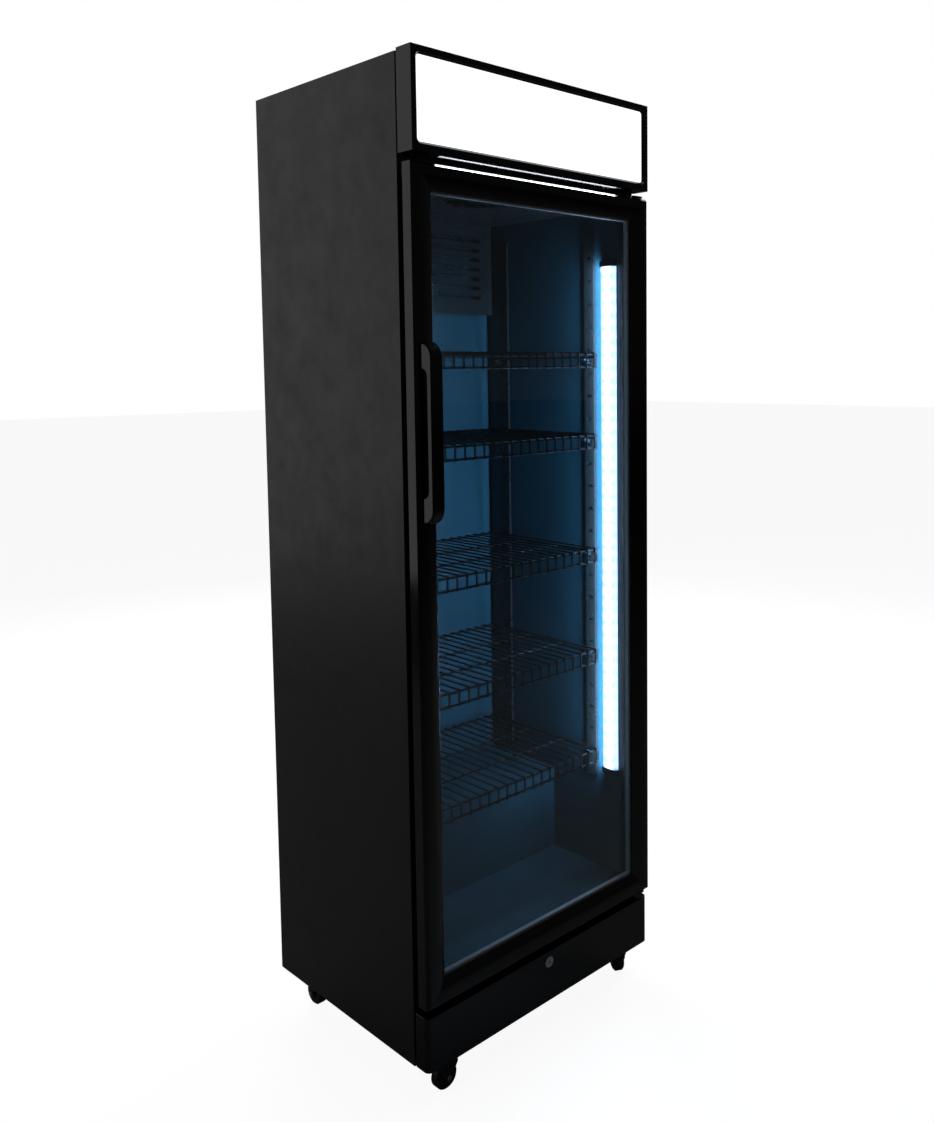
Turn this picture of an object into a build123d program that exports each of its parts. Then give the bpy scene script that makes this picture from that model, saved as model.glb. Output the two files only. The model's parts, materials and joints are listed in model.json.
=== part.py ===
"""Upright glass door merchandiser: a drinks cooler with one hinged glass door,
a lit canopy, five wire shelves and a fan-cooled refrigeration unit.

Frame: +Z up, the door faces -Y, origin on the floor under the middle of the
whole machine. All sizes are in millimetres.
"""

from build123d import *
import os

os.makedirs("parts", exist_ok=True)

# ---------------------------------------------------------------- cabinet
overall_width = 620.0
cabinet_depth = 462.0  # steel shell, front edge to back edge
cabinet_top = 1892.0
wheel_radius = 25.0
castor_headroom = 25.0  # castor fork, race and plate above the wheel
floor_clearance = 2 * wheel_radius + castor_headroom  # floor to the base tray
skin = 1.5  # sheet steel
wall = 32.0  # steel, foam and liner together
liner_thickness = 2.0
front_flange = 14.0  # sheet folded in round the front edge
face_thickness = 8.0  # moulded ring between shell and liner
panel_inset = 4.0  # back panel behind the shell's rear edge

# ---------------------------------------------------------------- door
door_frame_depth = 30.0
door_standoff = 15.0  # cabinet face to the back of the door frame
stile_width = 46.0
glass_thickness = 4.0
spacer_depth = 9.0
canopy_door_gap = 16.0
door_kick_gap = 17.0

# ---------------------------------------------------------------- handle
handle_projection = 30.0
handle_width = 27.0
handle_length = 316.0
handle_middle_z = 1240.0
handle_edge_inset = 8.0  # side of the grip to the side of the door

# ---------------------------------------------------------------- canopy and kick panel
canopy_height = 176.0
canopy_rise = 4.0  # canopy top above the cabinet top
canopy_depth = 44.0
face_gap = 4.0  # canopy and kick panel stand this far off the cabinet face
kick_depth = 39.0
kick_height = 103.0
kick_sheet = 2.5

# ---------------------------------------------------------------- compressor bay
bay_depth = 212.0
bay_top = 380.0

# ---------------------------------------------------------------- derived levels and planes
overall_depth = handle_projection + door_standoff + door_frame_depth + cabinet_depth
front = -overall_depth / 2 + handle_projection + door_frame_depth + door_standoff
back = overall_depth / 2
half_width = overall_width / 2

canopy_top = cabinet_top + canopy_rise
canopy_bottom = canopy_top - canopy_height
door_top = canopy_bottom - canopy_door_gap
kick_bottom = floor_clearance + 1.0
kick_top = kick_bottom + kick_height
door_bottom = kick_top + door_kick_gap
door_height = door_top - door_bottom
sill_drop = 6.0  # foot of the foam body below the door
base_top = door_bottom - sill_drop

cavity_half = half_width - wall
cavity_floor = base_top + wall
cavity_rear = back - wall
cavity_ceiling = cabinet_top - wall
lintel_overlap = 28.0  # door edge above the opening
opening_top = door_top - lintel_overlap
liner_front = front + face_thickness
lintel_rear = liner_front + wall
bay_front = back - bay_depth
riser = bay_front - wall
step_top = bay_top + wall
rear_panel_y = back - panel_inset


def frontal(y):
    """Plane facing the viewer at depth y; extruding by a negative amount goes back."""
    return Plane.XZ.offset(-y)


def from_left(x):
    """Plane with Y across and Z up; extruding goes towards +X."""
    return Plane.YZ.offset(x)


def cavity_outline(grow, front_edge):
    """Side view of the storage space, its walls moved out by grow."""
    return [
        (front_edge, cavity_floor - grow),
        (riser + grow, cavity_floor - grow),
        (riser + grow, step_top - grow),
        (cavity_rear + grow, step_top - grow),
        (cavity_rear + grow, cavity_ceiling + grow),
        (lintel_rear - grow, cavity_ceiling + grow),
        (lintel_rear - grow, opening_top + grow),
        (front_edge, opening_top + grow),
    ]


# ================================================================ cabinet shell
shell_height = cabinet_top - floor_clearance

with BuildPart() as outer_wrapper:
    # sides and top, bent from one sheet
    with BuildSketch(frontal(front)):
        with Locations((0, floor_clearance)):
            Rectangle(overall_width, shell_height, align=(Align.CENTER, Align.MIN))
            Rectangle(
                overall_width - 2 * skin,
                shell_height - skin,
                align=(Align.CENTER, Align.MIN),
                mode=Mode.SUBTRACT,
            )
    extrude(amount=-cabinet_depth)
    # flange folded in round the front edge
    with BuildSketch(frontal(front)):
        with Locations((0, floor_clearance)):
            Rectangle(overall_width, shell_height, align=(Align.CENTER, Align.MIN))
            Rectangle(
                overall_width - 2 * front_flange,
                shell_height - front_flange,
                align=(Align.CENTER, Align.MIN),
                mode=Mode.SUBTRACT,
            )
    extrude(amount=-skin)
outer_wrapper.part.label = "outer_wrapper"
export_step(outer_wrapper.part, "parts/outer_wrapper.step")

# back sheet with two pressed stiffening beads
bead_width = 26.0
bead_height = 2.5
bead_spacing = overall_width / 2
bead_end_gap = 150.0  # each bead stops short of the sheet's ends
bead_draft = 30
rear_panel_height = cabinet_top - skin - bay_top

with BuildPart() as rear_panel:
    with BuildSketch(frontal(rear_panel_y)):
        with Locations((0, bay_top)):
            Rectangle(
                overall_width - 2 * skin, rear_panel_height, align=(Align.CENTER, Align.MIN)
            )
    extrude(amount=skin)
    with BuildSketch(frontal(rear_panel_y)):
        with Locations((0, bay_top + rear_panel_height / 2)):
            with GridLocations(bead_spacing, 0, 2, 1):
                SlotOverall(rear_panel_height - 2 * bead_end_gap, bead_width, rotation=90)
    extrude(amount=-bead_height, taper=bead_draft)
rear_panel.part.label = "rear_panel"
export_step(rear_panel.part, "parts/rear_panel.step")

# folded sheet under the foam that also lines the compressor bay
belly_front = front + face_thickness
belly_rear = rear_panel_y - skin

with BuildPart() as belly_panel:
    with BuildSketch(from_left(-half_width + skin)):
        with BuildLine():
            Polyline(
                (belly_front, base_top),
                (bay_front, base_top),
                (bay_front, bay_top),
                (belly_rear, bay_top),
                (belly_rear, bay_top + skin),
                (bay_front - skin, bay_top + skin),
                (bay_front - skin, base_top + skin),
                (belly_front, base_top + skin),
                close=True,
            )
        make_face()
    extrude(amount=overall_width - 2 * skin)
belly_panel.part.label = "belly_panel"
export_step(belly_panel.part, "parts/belly_panel.step")

with BuildPart() as insulation:
    with BuildSketch(from_left(-half_width + skin)):
        with BuildLine():
            Polyline(
                (liner_front, base_top + skin),
                (bay_front - skin, base_top + skin),
                (bay_front - skin, bay_top + skin),
                (belly_rear, bay_top + skin),
                (belly_rear, cabinet_top - skin),
                (liner_front, cabinet_top - skin),
                close=True,
            )
        make_face()
    extrude(amount=overall_width - 2 * skin)
    with BuildSketch(from_left(-cavity_half - liner_thickness)):
        with BuildLine():
            Polyline(*cavity_outline(liner_thickness, liner_front), close=True)
        make_face()
    extrude(amount=2 * (cavity_half + liner_thickness), mode=Mode.SUBTRACT)
insulation.part.label = "insulation"
export_step(insulation.part, "parts/insulation.step")

with BuildPart() as inner_liner:
    with BuildSketch(from_left(-cavity_half - liner_thickness)):
        with BuildLine():
            Polyline(*cavity_outline(liner_thickness, liner_front), close=True)
        make_face()
    extrude(amount=2 * (cavity_half + liner_thickness))
    with BuildSketch(from_left(-cavity_half)):
        with BuildLine():
            Polyline(*cavity_outline(0, liner_front), close=True)
        make_face()
    extrude(amount=2 * cavity_half, mode=Mode.SUBTRACT)
inner_liner.part.label = "inner_liner"
export_step(inner_liner.part, "parts/inner_liner.step")

# moulded ring that closes the foam between the shell and the liner
face_height = cabinet_top - skin - base_top
opening_height = opening_top - cavity_floor

with BuildPart() as face_frame:
    with BuildSketch(frontal(front + skin)):
        with Locations((0, base_top)):
            Rectangle(overall_width - 2 * skin, face_height, align=(Align.CENTER, Align.MIN))
    extrude(amount=-(face_thickness - skin))
    with BuildSketch(frontal(front)):
        with Locations((0, base_top)):
            Rectangle(
                overall_width - 2 * front_flange,
                cabinet_top - front_flange - base_top,
                align=(Align.CENTER, Align.MIN),
            )
    extrude(amount=-skin)
    with BuildSketch(frontal(front)):
        with Locations((0, cavity_floor)):
            Rectangle(2 * cavity_half, opening_height, align=(Align.CENTER, Align.MIN))
    extrude(amount=-face_thickness, mode=Mode.SUBTRACT)
face_frame.part.label = "face_frame"
export_step(face_frame.part, "parts/face_frame.step")

# ================================================================ base and kick panel
tray_sheet = 2.0
tray_flange = 26.0
kick_corner = 12.0
kick_reveal = 1.0  # sides of the kick panel inside the cabinet's sides
kick_half = half_width - kick_reveal
kick_front = front - kick_depth
kick_back = front - face_gap
kick_rim_radius = 1.2
tray_half = half_width - skin
apron_fit = 1.0
apron_half = half_width - front_flange - apron_fit / 2
apron_front = kick_front + kick_sheet + apron_fit
tray_back = back - panel_inset
intake_slot = 8.0
intake_pitch = 20.0
intake_count = 16
intake_length = 21.0
bulkhead_post = 93.0  # solid end of the bulkhead on each side

with BuildPart() as base_chassis:
    # tray under the compressor bay and the front apron
    with BuildSketch(Plane.XY.offset(floor_clearance)):
        with Locations((0, front + skin)):
            Rectangle(2 * tray_half, tray_back - front - skin, align=(Align.CENTER, Align.MIN))
        with Locations((0, apron_front)):
            Rectangle(2 * apron_half, front + skin - apron_front, align=(Align.CENTER, Align.MIN))
    extrude(amount=tray_sheet)
    # side and rear flanges
    with BuildSketch(Plane.XY.offset(floor_clearance)):
        with Locations((0, front + skin)):
            Rectangle(2 * tray_half, tray_back - front - skin, align=(Align.CENTER, Align.MIN))
            Rectangle(
                2 * (tray_half - tray_sheet),
                tray_back - front - skin - tray_sheet,
                align=(Align.CENTER, Align.MIN),
                mode=Mode.SUBTRACT,
            )
    extrude(amount=tray_flange)
    # bulkhead behind the kick panel, open in the middle for the cooling air
    with BuildSketch(frontal(front + skin)):
        with Locations((0, floor_clearance)):
            Rectangle(2 * tray_half, base_top - floor_clearance, align=(Align.CENTER, Align.MIN))
        with Locations((0, floor_clearance + tray_flange)):
            Rectangle(
                overall_width - 2 * bulkhead_post,
                base_top - floor_clearance - 2 * tray_flange,
                align=(Align.CENTER, Align.MIN),
                mode=Mode.SUBTRACT,
            )
    extrude(amount=-tray_sheet)
    # air intake slots in the apron
    with BuildSketch(Plane.XY.offset(floor_clearance)):
        with Locations((0, (apron_front + front) / 2)):
            with GridLocations(intake_pitch, 0, intake_count, 1):
                Rectangle(intake_slot, intake_length)
    extrude(amount=tray_sheet, mode=Mode.SUBTRACT)
base_chassis.part.label = "base_chassis"
export_step(base_chassis.part, "parts/base_chassis.step")

# lock geometry, shared by the kick panel, the lock and the door
lock_drop = 21.0  # lock centre below the kick panel's top
lock_z = kick_top - lock_drop
lock_radius = 9.5
lock_fit = 0.2
plug_radius = 6.0
plug_fit = 0.05
cam_length = 46.0
cam_width = 10.0
cam_sheet = 2.5
cam_setback = 24.0  # cam in front of the cabinet face
cam_front = front - cam_setback
cam_clearance = 2.0
cam_slot_length = cam_length + 5 * cam_clearance
cam_slot_width = cam_sheet + 2 * cam_clearance
keeper_depth = 14.0

with BuildPart() as kick_panel:
    with BuildSketch(Plane.XY.offset(kick_bottom)):
        with BuildLine():
            Polyline(
                (-kick_half, kick_back),
                (-kick_half, kick_front),
                (kick_half, kick_front),
                (kick_half, kick_back),
                close=True,
            )
        make_face()
    extrude(amount=kick_height)
    fillet(kick_panel.edges().filter_by(Axis.Z).group_by(Axis.Y)[0], kick_corner)
    # hollow from below and behind, leaving the front, the sides and the top
    with BuildSketch(Plane.XY.offset(kick_bottom)) as kick_hollow:
        with BuildLine():
            Polyline(
                (-kick_half + kick_sheet, kick_back),
                (-kick_half + kick_sheet, kick_front + kick_sheet),
                (kick_half - kick_sheet, kick_front + kick_sheet),
                (kick_half - kick_sheet, kick_back),
                close=True,
            )
        make_face()
        fillet(kick_hollow.vertices().group_by(Axis.Y)[0], kick_corner - kick_sheet)
    extrude(amount=kick_height - kick_sheet, mode=Mode.SUBTRACT)
    # hole for the lock, slot in the top for its cam
    with Locations(frontal(kick_front) * Location((0, lock_z, 0))):
        Hole(lock_radius + lock_fit, depth=kick_sheet * 2)
    with BuildSketch(Plane.XY.offset(kick_top)):
        with Locations((cam_length / 2 - cam_clearance, cam_front + cam_sheet / 2)):
            Rectangle(cam_slot_length, cam_slot_width)
    extrude(amount=-kick_sheet, mode=Mode.SUBTRACT)
    top_rim = kick_panel.edges().filter_by(Plane.XY).group_by(Axis.Z)[-1]
    fillet(top_rim.filter_by_position(Axis.Y, kick_front - skin, kick_front + lock_fit), kick_rim_radius)
kick_panel.part.label = "kick_panel"
export_step(kick_panel.part, "parts/kick_panel.step")

lock_flange = 2.5
lock_flange_lap = 1.8
lock_flange_bevel = 1.0
cam_play = 0.5
keyway_width = 2.0
keyway_depth = 6.0

with BuildPart() as lock_body:
    with BuildSketch(frontal(kick_front)):
        with Locations((0, lock_z)):
            Circle(lock_radius + lock_flange_lap)
    extrude(amount=lock_flange)
    chamfer(lock_body.edges().group_by(Axis.Y)[0], lock_flange_bevel)
    with BuildSketch(frontal(kick_front)):
        with Locations((0, lock_z)):
            Circle(lock_radius)
    extrude(amount=-(cam_front - kick_front - cam_play))
    with BuildSketch(frontal(kick_front - lock_flange)):
        with Locations((0, lock_z)):
            Circle(plug_radius + plug_fit)
    extrude(amount=-(cam_front - kick_front + lock_flange), mode=Mode.SUBTRACT)
lock_body.part.label = "lock_body"
export_step(lock_body.part, "parts/lock_body.step")

with BuildPart() as lock_plug:
    with BuildSketch(frontal(kick_front - lock_flange)):
        with Locations((0, lock_z)):
            Circle(plug_radius)
    extrude(amount=-(cam_front - kick_front + lock_flange))
    # keyway
    with BuildSketch(frontal(kick_front - lock_flange)):
        with Locations((0, lock_z)):
            Rectangle(keyway_width, 2 * (plug_radius - keyway_width))
    extrude(amount=-keyway_depth, mode=Mode.SUBTRACT)
    # cam, lying to the right while unlocked
    with BuildSketch(frontal(cam_front)):
        with Locations((cam_length / 2 - cam_width / 4, lock_z)):
            SlotOverall(cam_length + cam_width / 2, cam_width)
    extrude(amount=-cam_sheet)
lock_plug.part.label = "lock_plug"
export_step(lock_plug.part, "parts/lock_plug.step")

# ================================================================ canopy
canopy_front = front - canopy_depth
canopy_back = front - face_gap
canopy_sheet = 2.0
bezel_depth = 8.0
bezel_side = 15.0
bezel_top = 14.0
bezel_bottom = 17.0
bezel_corner = 6.0
bezel_slope = 4.0
diffuser_sheet = 3.0
diffuser_lap = 6.0
diffuser_fit = 0.5
housing_front = canopy_front + bezel_depth
slot_lens_length = 480.0
slot_lens_width = 12.0
slot_lens_setback = 28.0
slot_lens_y = front - slot_lens_setback
lens_sheet = 2.0
lens_lap = 1.5  # tray rim resting on the housing round the slot
lens_rise = 2.5  # light slot to the lit face
switch_inset = 102.0  # from the right-hand side
switch_setback = 13.0
switch_x = half_width - switch_inset
switch_y = front - switch_setback
switch_length = 26.0
switch_width = 11.0
switch_lip = 1.0
switch_fit = 0.2
canopy_middle = canopy_bottom + canopy_height / 2
window_width = overall_width - 2 * bezel_side
window_height = canopy_height - bezel_top - bezel_bottom
window_middle = canopy_bottom + bezel_bottom + window_height / 2

with BuildPart() as canopy_housing:
    with BuildSketch(frontal(housing_front)):
        with Locations((0, canopy_middle)):
            Rectangle(overall_width, canopy_height)
    extrude(amount=-(canopy_back - housing_front))
    with BuildSketch(frontal(housing_front)):
        with Locations((0, canopy_middle)):
            Rectangle(overall_width - 2 * canopy_sheet, canopy_height - 2 * canopy_sheet)
    extrude(amount=-(canopy_back - housing_front - canopy_sheet), mode=Mode.SUBTRACT)
    # openings in the underside for the slot lens and the switch
    with BuildSketch(Plane.XY.offset(canopy_bottom)):
        with Locations((0, slot_lens_y)):
            Rectangle(slot_lens_length, slot_lens_width)
        with Locations((switch_x, switch_y)):
            Rectangle(switch_length, switch_width)
    extrude(amount=canopy_sheet, mode=Mode.SUBTRACT)
canopy_housing.part.label = "canopy_housing"
export_step(canopy_housing.part, "parts/canopy_housing.step")

with BuildPart() as canopy_bezel:
    with BuildSketch(frontal(canopy_front)):
        with Locations((0, canopy_middle)):
            Rectangle(overall_width, canopy_height)
    extrude(amount=-bezel_depth)
    # window, flared towards the front
    with BuildSketch(frontal(canopy_front + bezel_slope)):
        with Locations((0, window_middle)):
            RectangleRounded(window_width, window_height, bezel_corner)
    extrude(amount=-(bezel_depth - bezel_slope), mode=Mode.SUBTRACT)
    with BuildSketch(frontal(canopy_front)):
        with Locations((0, window_middle)):
            RectangleRounded(
                window_width + 2 * bezel_slope,
                window_height + 2 * bezel_slope,
                bezel_corner + bezel_slope,
            )
    with BuildSketch(frontal(canopy_front + bezel_slope)):
        with Locations((0, window_middle)):
            RectangleRounded(window_width, window_height, bezel_corner)
    loft(mode=Mode.SUBTRACT)
    # rebate for the diffuser
    with BuildSketch(frontal(housing_front)):
        with Locations((0, window_middle)):
            Rectangle(
                window_width + 2 * (diffuser_lap + diffuser_fit),
                window_height + 2 * (diffuser_lap + diffuser_fit),
            )
    extrude(amount=diffuser_sheet, mode=Mode.SUBTRACT)
canopy_bezel.part.label = "canopy_bezel"
export_step(canopy_bezel.part, "parts/canopy_bezel.step")

with BuildPart() as canopy_diffuser:
    with BuildSketch(frontal(housing_front)):
        with Locations((0, window_middle)):
            Rectangle(window_width + 2 * diffuser_lap, window_height + 2 * diffuser_lap)
    extrude(amount=diffuser_sheet)
canopy_diffuser.part.label = "canopy_diffuser"
export_step(canopy_diffuser.part, "parts/canopy_diffuser.step")

with BuildPart() as canopy_slot_lens:
    # shallow tray turned over the slot, its lit face hidden up inside the housing
    with BuildSketch(Plane.XY.offset(canopy_bottom + canopy_sheet)):
        with Locations((0, slot_lens_y)):
            Rectangle(slot_lens_length + 2 * lens_lap, slot_lens_width + 2 * lens_lap)
    extrude(amount=lens_rise + lens_sheet)
    with BuildSketch(Plane.XY.offset(canopy_bottom + canopy_sheet)):
        with Locations((0, slot_lens_y)):
            Rectangle(slot_lens_length, slot_lens_width)
    extrude(amount=lens_rise, mode=Mode.SUBTRACT)
canopy_slot_lens.part.label = "canopy_slot_lens"
export_step(canopy_slot_lens.part, "parts/canopy_slot_lens.step")

rocker_length = 17.0
rocker_width = 7.0
rocker_gap = 0.8
rocker_end_gap = 1.3
rocker_pocket = 12.0
rocker_skirt = 2.5  # rocker sides up inside the body
rocker_low = 0.8  # pressed end, below the canopy
rocker_middle = 2.4
rocker_high = 3.0  # raised end
switch_depth = 16.0
switch_flange = 1.5

with BuildPart() as light_switch_body:
    with BuildSketch(Plane.XY.offset(canopy_bottom)):
        with Locations((switch_x, switch_y)):
            Rectangle(switch_length - 2 * switch_fit, switch_width - 2 * switch_fit)
    extrude(amount=switch_depth)
    with BuildSketch(Plane.XY.offset(canopy_bottom)):
        with Locations((switch_x, switch_y)):
            Rectangle(switch_length + 2 * switch_lip, switch_width + 2 * switch_lip)
    extrude(amount=-switch_flange)
    with BuildSketch(Plane.XY.offset(canopy_bottom - switch_flange)):
        with Locations((switch_x, switch_y)):
            Rectangle(rocker_length + 2 * rocker_end_gap, rocker_width + 2 * rocker_gap)
    extrude(amount=rocker_pocket, mode=Mode.SUBTRACT)
light_switch_body.part.label = "light_switch_body"
export_step(light_switch_body.part, "parts/light_switch_body.step")

# rocker turning on its own middle line, pressed in at the left while off
rocker_half = rocker_length / 2
with BuildPart() as light_switch_rocker:
    with BuildSketch(frontal(switch_y - rocker_width / 2)):
        with BuildLine():
            Polyline(
                (switch_x - rocker_half, canopy_bottom + rocker_skirt),
                (switch_x - rocker_half, canopy_bottom - rocker_low),
                (switch_x, canopy_bottom - rocker_middle),
                (switch_x + rocker_half, canopy_bottom - rocker_high),
                (switch_x + rocker_half, canopy_bottom + rocker_skirt),
                close=True,
            )
        make_face()
    extrude(amount=-rocker_width)
light_switch_rocker.part.label = "light_switch_rocker"
export_step(light_switch_rocker.part, "parts/light_switch_rocker.step")

# ================================================================ door
door_front = front - door_standoff - door_frame_depth
door_back = front - door_standoff
rim_width = 10.0
edge_drop = 5.0  # bevel on the outer front edge, measured across the frame
edge_slope = 8.0  # the same bevel, measured back from the front
lip_depth = 2.0
glass_lap = 12.0
glass_pocket = stile_width - glass_lap
unit_depth = 2 * glass_thickness + spacer_depth
glass_front = door_back - unit_depth
bulge = 3.0
glass_edge_gap = 0.5

hinge_inset = 20.0
hinge_setback = 28.0
hinge_x = half_width - hinge_inset
hinge_y = front - hinge_setback
pin_radius = 4.0
pin_fit = 0.05
bush_radius = 7.0
bush_length = 24.0
bush_flange = 1.0
bush_flange_lap = 2.0

handle_x = -half_width + handle_edge_inset + handle_width / 2
handle_foot = 45.0
screw_radius = 2.5
screw_head_radius = 4.6
screw_head = 3.0
screw_sink = 0.5  # head below the back of the door frame
screw_fit = 0.15
thread_fit = 0.05
screw_length = door_frame_depth + handle_projection / 2
screw_heights = [
    handle_middle_z - handle_length / 2 + handle_foot / 2,
    handle_middle_z + handle_length / 2 - handle_foot / 2,
]


def frame_outline(place):
    """Closed section of the door frame; place(u, y) maps the distance u from the outer edge."""
    lip_y = glass_front - lip_depth
    Polyline(
        place(stile_width, lip_y),
        place(stile_width, glass_front),
        place(glass_pocket, glass_front),
        place(glass_pocket, door_back),
        place(0, door_back),
        place(0, door_front + edge_slope),
        place(edge_drop, door_front),
        place(rim_width, door_front),
    )
    ThreePointArc(
        place(rim_width, door_front),
        place((rim_width + stile_width) / 2, (door_front + lip_y) / 2 - bulge),
        place(stile_width, lip_y),
    )


def bush_pockets():
    """Cut the two round pockets that hold the hinge bushes."""
    for middle in (door_bottom + bush_length / 2, door_top - bush_length / 2):
        with Locations((hinge_x, hinge_y, middle)):
            Cylinder(bush_radius, bush_length, mode=Mode.SUBTRACT)


with BuildPart() as door_stile_handle:
    with BuildSketch(Plane.XY.offset(door_bottom)):
        with BuildLine():
            frame_outline(lambda u, y: (-half_width + u, y))
        make_face()
    extrude(amount=door_height)
    # mitred ends
    split(bisect_by=Plane(origin=(-half_width, 0, door_bottom), z_dir=(-1, 0, 1)))
    split(bisect_by=Plane(origin=(-half_width, 0, door_top), z_dir=(-1, 0, -1)))
    # counterbored holes for the handle screws
    for z in screw_heights:
        with Locations(Plane(origin=(handle_x, door_back, z), z_dir=(0, 1, 0))):
            CounterBoreHole(
                screw_radius + screw_fit, screw_head_radius + screw_fit, screw_head + screw_sink
            )
door_stile_handle.part.label = "door_stile_handle"
export_step(door_stile_handle.part, "parts/door_stile_handle.step")

with BuildPart() as door_stile_hinge:
    with BuildSketch(Plane.XY.offset(door_bottom)):
        with BuildLine():
            frame_outline(lambda u, y: (half_width - u, y))
        make_face()
    extrude(amount=door_height)
    split(bisect_by=Plane(origin=(half_width, 0, door_bottom), z_dir=(1, 0, 1)))
    split(bisect_by=Plane(origin=(half_width, 0, door_top), z_dir=(1, 0, -1)))
    bush_pockets()
door_stile_hinge.part.label = "door_stile_hinge"
export_step(door_stile_hinge.part, "parts/door_stile_hinge.step")

with BuildPart() as door_rail_top:
    with BuildSketch(from_left(-half_width)):
        with BuildLine():
            frame_outline(lambda u, y: (y, door_top - u))
        make_face()
    extrude(amount=overall_width)
    split(bisect_by=Plane(origin=(-half_width, 0, door_top), z_dir=(1, 0, 1)))
    split(bisect_by=Plane(origin=(half_width, 0, door_top), z_dir=(-1, 0, 1)))
    bush_pockets()
door_rail_top.part.label = "door_rail_top"
export_step(door_rail_top.part, "parts/door_rail_top.step")

with BuildPart() as door_rail_bottom:
    with BuildSketch(from_left(-half_width)):
        with BuildLine():
            frame_outline(lambda u, y: (y, door_bottom + u))
        make_face()
    extrude(amount=overall_width)
    split(bisect_by=Plane(origin=(-half_width, 0, door_bottom), z_dir=(1, 0, -1)))
    split(bisect_by=Plane(origin=(half_width, 0, door_bottom), z_dir=(-1, 0, -1)))
    bush_pockets()
    # keeper slot that the lock's cam swings up into
    with BuildSketch(Plane.XY.offset(door_bottom)):
        with Locations((cam_length / 2 - cam_clearance, cam_front + cam_sheet / 2)):
            Rectangle(cam_slot_length, cam_slot_width)
    extrude(amount=keeper_depth, mode=Mode.SUBTRACT)
door_rail_bottom.part.label = "door_rail_bottom"
export_step(door_rail_bottom.part, "parts/door_rail_bottom.step")

# double glazing held in the frame's pocket
door_middle = (door_top + door_bottom) / 2
pane_width = overall_width - 2 * (glass_pocket + glass_edge_gap)
pane_height = door_height - 2 * (glass_pocket + glass_edge_gap)
spacer_inset = 5.0
spacer_width = 10.0

with BuildPart() as outer_glass:
    with BuildSketch(frontal(glass_front)):
        with Locations((0, door_middle)):
            Rectangle(pane_width, pane_height)
    extrude(amount=-glass_thickness)
outer_glass.part.label = "outer_glass"
export_step(outer_glass.part, "parts/outer_glass.step")

with BuildPart() as glass_spacer:
    with BuildSketch(frontal(glass_front + glass_thickness)):
        with Locations((0, door_middle)):
            Rectangle(pane_width - 2 * spacer_inset, pane_height - 2 * spacer_inset)
            Rectangle(
                pane_width - 2 * (spacer_inset + spacer_width),
                pane_height - 2 * (spacer_inset + spacer_width),
                mode=Mode.SUBTRACT,
            )
    extrude(amount=-spacer_depth)
glass_spacer.part.label = "glass_spacer"
export_step(glass_spacer.part, "parts/glass_spacer.step")

with BuildPart() as inner_glass:
    with BuildSketch(frontal(door_back - glass_thickness)):
        with Locations((0, door_middle)):
            Rectangle(pane_width, pane_height)
    extrude(amount=-glass_thickness)
inner_glass.part.label = "inner_glass"
export_step(inner_glass.part, "parts/inner_glass.step")

# magnetic gasket: a flat carrier, a narrow neck and a rounded magnet bulb
gasket_outer = 18.0
gasket_seat_gap = 0.5
gasket_round = 1.5
gasket_steps = [
    # distance of the outer and inner edge from the door's edge, start and end behind the door
    (gasket_outer, 38.0, 0.0, 5.0),
    (gasket_outer + 5.0, 31.0, 5.0, 8.5),
    (gasket_outer + 2.0, 34.0, 8.5, door_standoff - gasket_seat_gap),
]

with BuildPart() as door_gasket:
    for outer_edge, inner_edge, start, end in gasket_steps:
        with BuildSketch(frontal(door_back + start)):
            with Locations((0, door_middle)):
                Rectangle(overall_width - 2 * outer_edge, door_height - 2 * outer_edge)
                Rectangle(
                    overall_width - 2 * inner_edge,
                    door_height - 2 * inner_edge,
                    mode=Mode.SUBTRACT,
                )
        extrude(amount=-(end - start))
    chamfer(door_gasket.edges().filter_by(Plane.XZ).group_by(Axis.Y)[-1], gasket_round)
door_gasket.part.label = "door_gasket"
export_step(door_gasket.part, "parts/door_gasket.step")

# bow handle: seen from the side it is a D whose feet sit on the sloping stile
grip_thickness = 12.0
handle_outer_radius = 28.0
handle_inner_radius = 15.0
grip_bevel = 3.5
handle_low = handle_middle_z - handle_length / 2
handle_high = handle_middle_z + handle_length / 2
handle_front = door_front - handle_projection
handle_seat = glass_front
gap_face = handle_front + grip_thickness

with BuildPart() as door_handle:
    with BuildSketch(from_left(handle_x - handle_width / 2)):
        with BuildLine():
            Polyline(
                (handle_seat, handle_low),
                (handle_front, handle_low),
                (handle_front, handle_high),
                (handle_seat, handle_high),
                close=True,
            )
        make_face()
    extrude(amount=handle_width)
    outer_corners = door_handle.edges().filter_by(Axis.X).group_by(Axis.Y)[0]
    fillet(outer_corners, handle_outer_radius)
    # one bevel runs along both sides of the bow, round its corners too
    side_edges = door_handle.faces().filter_by(Axis.X).edges()
    chamfer(side_edges.filter_by_position(Axis.Y, handle_front - skin, handle_seat - skin), grip_bevel)
    with BuildSketch(from_left(handle_x - handle_width / 2)):
        with Locations(((gap_face + handle_seat) / 2, handle_middle_z)):
            Rectangle(handle_seat - gap_face, handle_length - 2 * handle_foot)
    extrude(amount=handle_width, mode=Mode.SUBTRACT)
    gap_corners = (
        door_handle.edges()
        .filter_by(Axis.X)
        .filter_by_position(Axis.Y, gap_face - screw_fit, gap_face + screw_fit)
    )
    fillet(gap_corners, handle_inner_radius)
    add(door_stile_handle.part, mode=Mode.SUBTRACT)
    for z in screw_heights:
        with Locations(Plane(origin=(handle_x, door_back, z), z_dir=(0, 1, 0))):
            Hole(screw_radius + thread_fit, depth=screw_length)
door_handle.part.label = "door_handle"
export_step(door_handle.part, "parts/door_handle.step")

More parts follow.
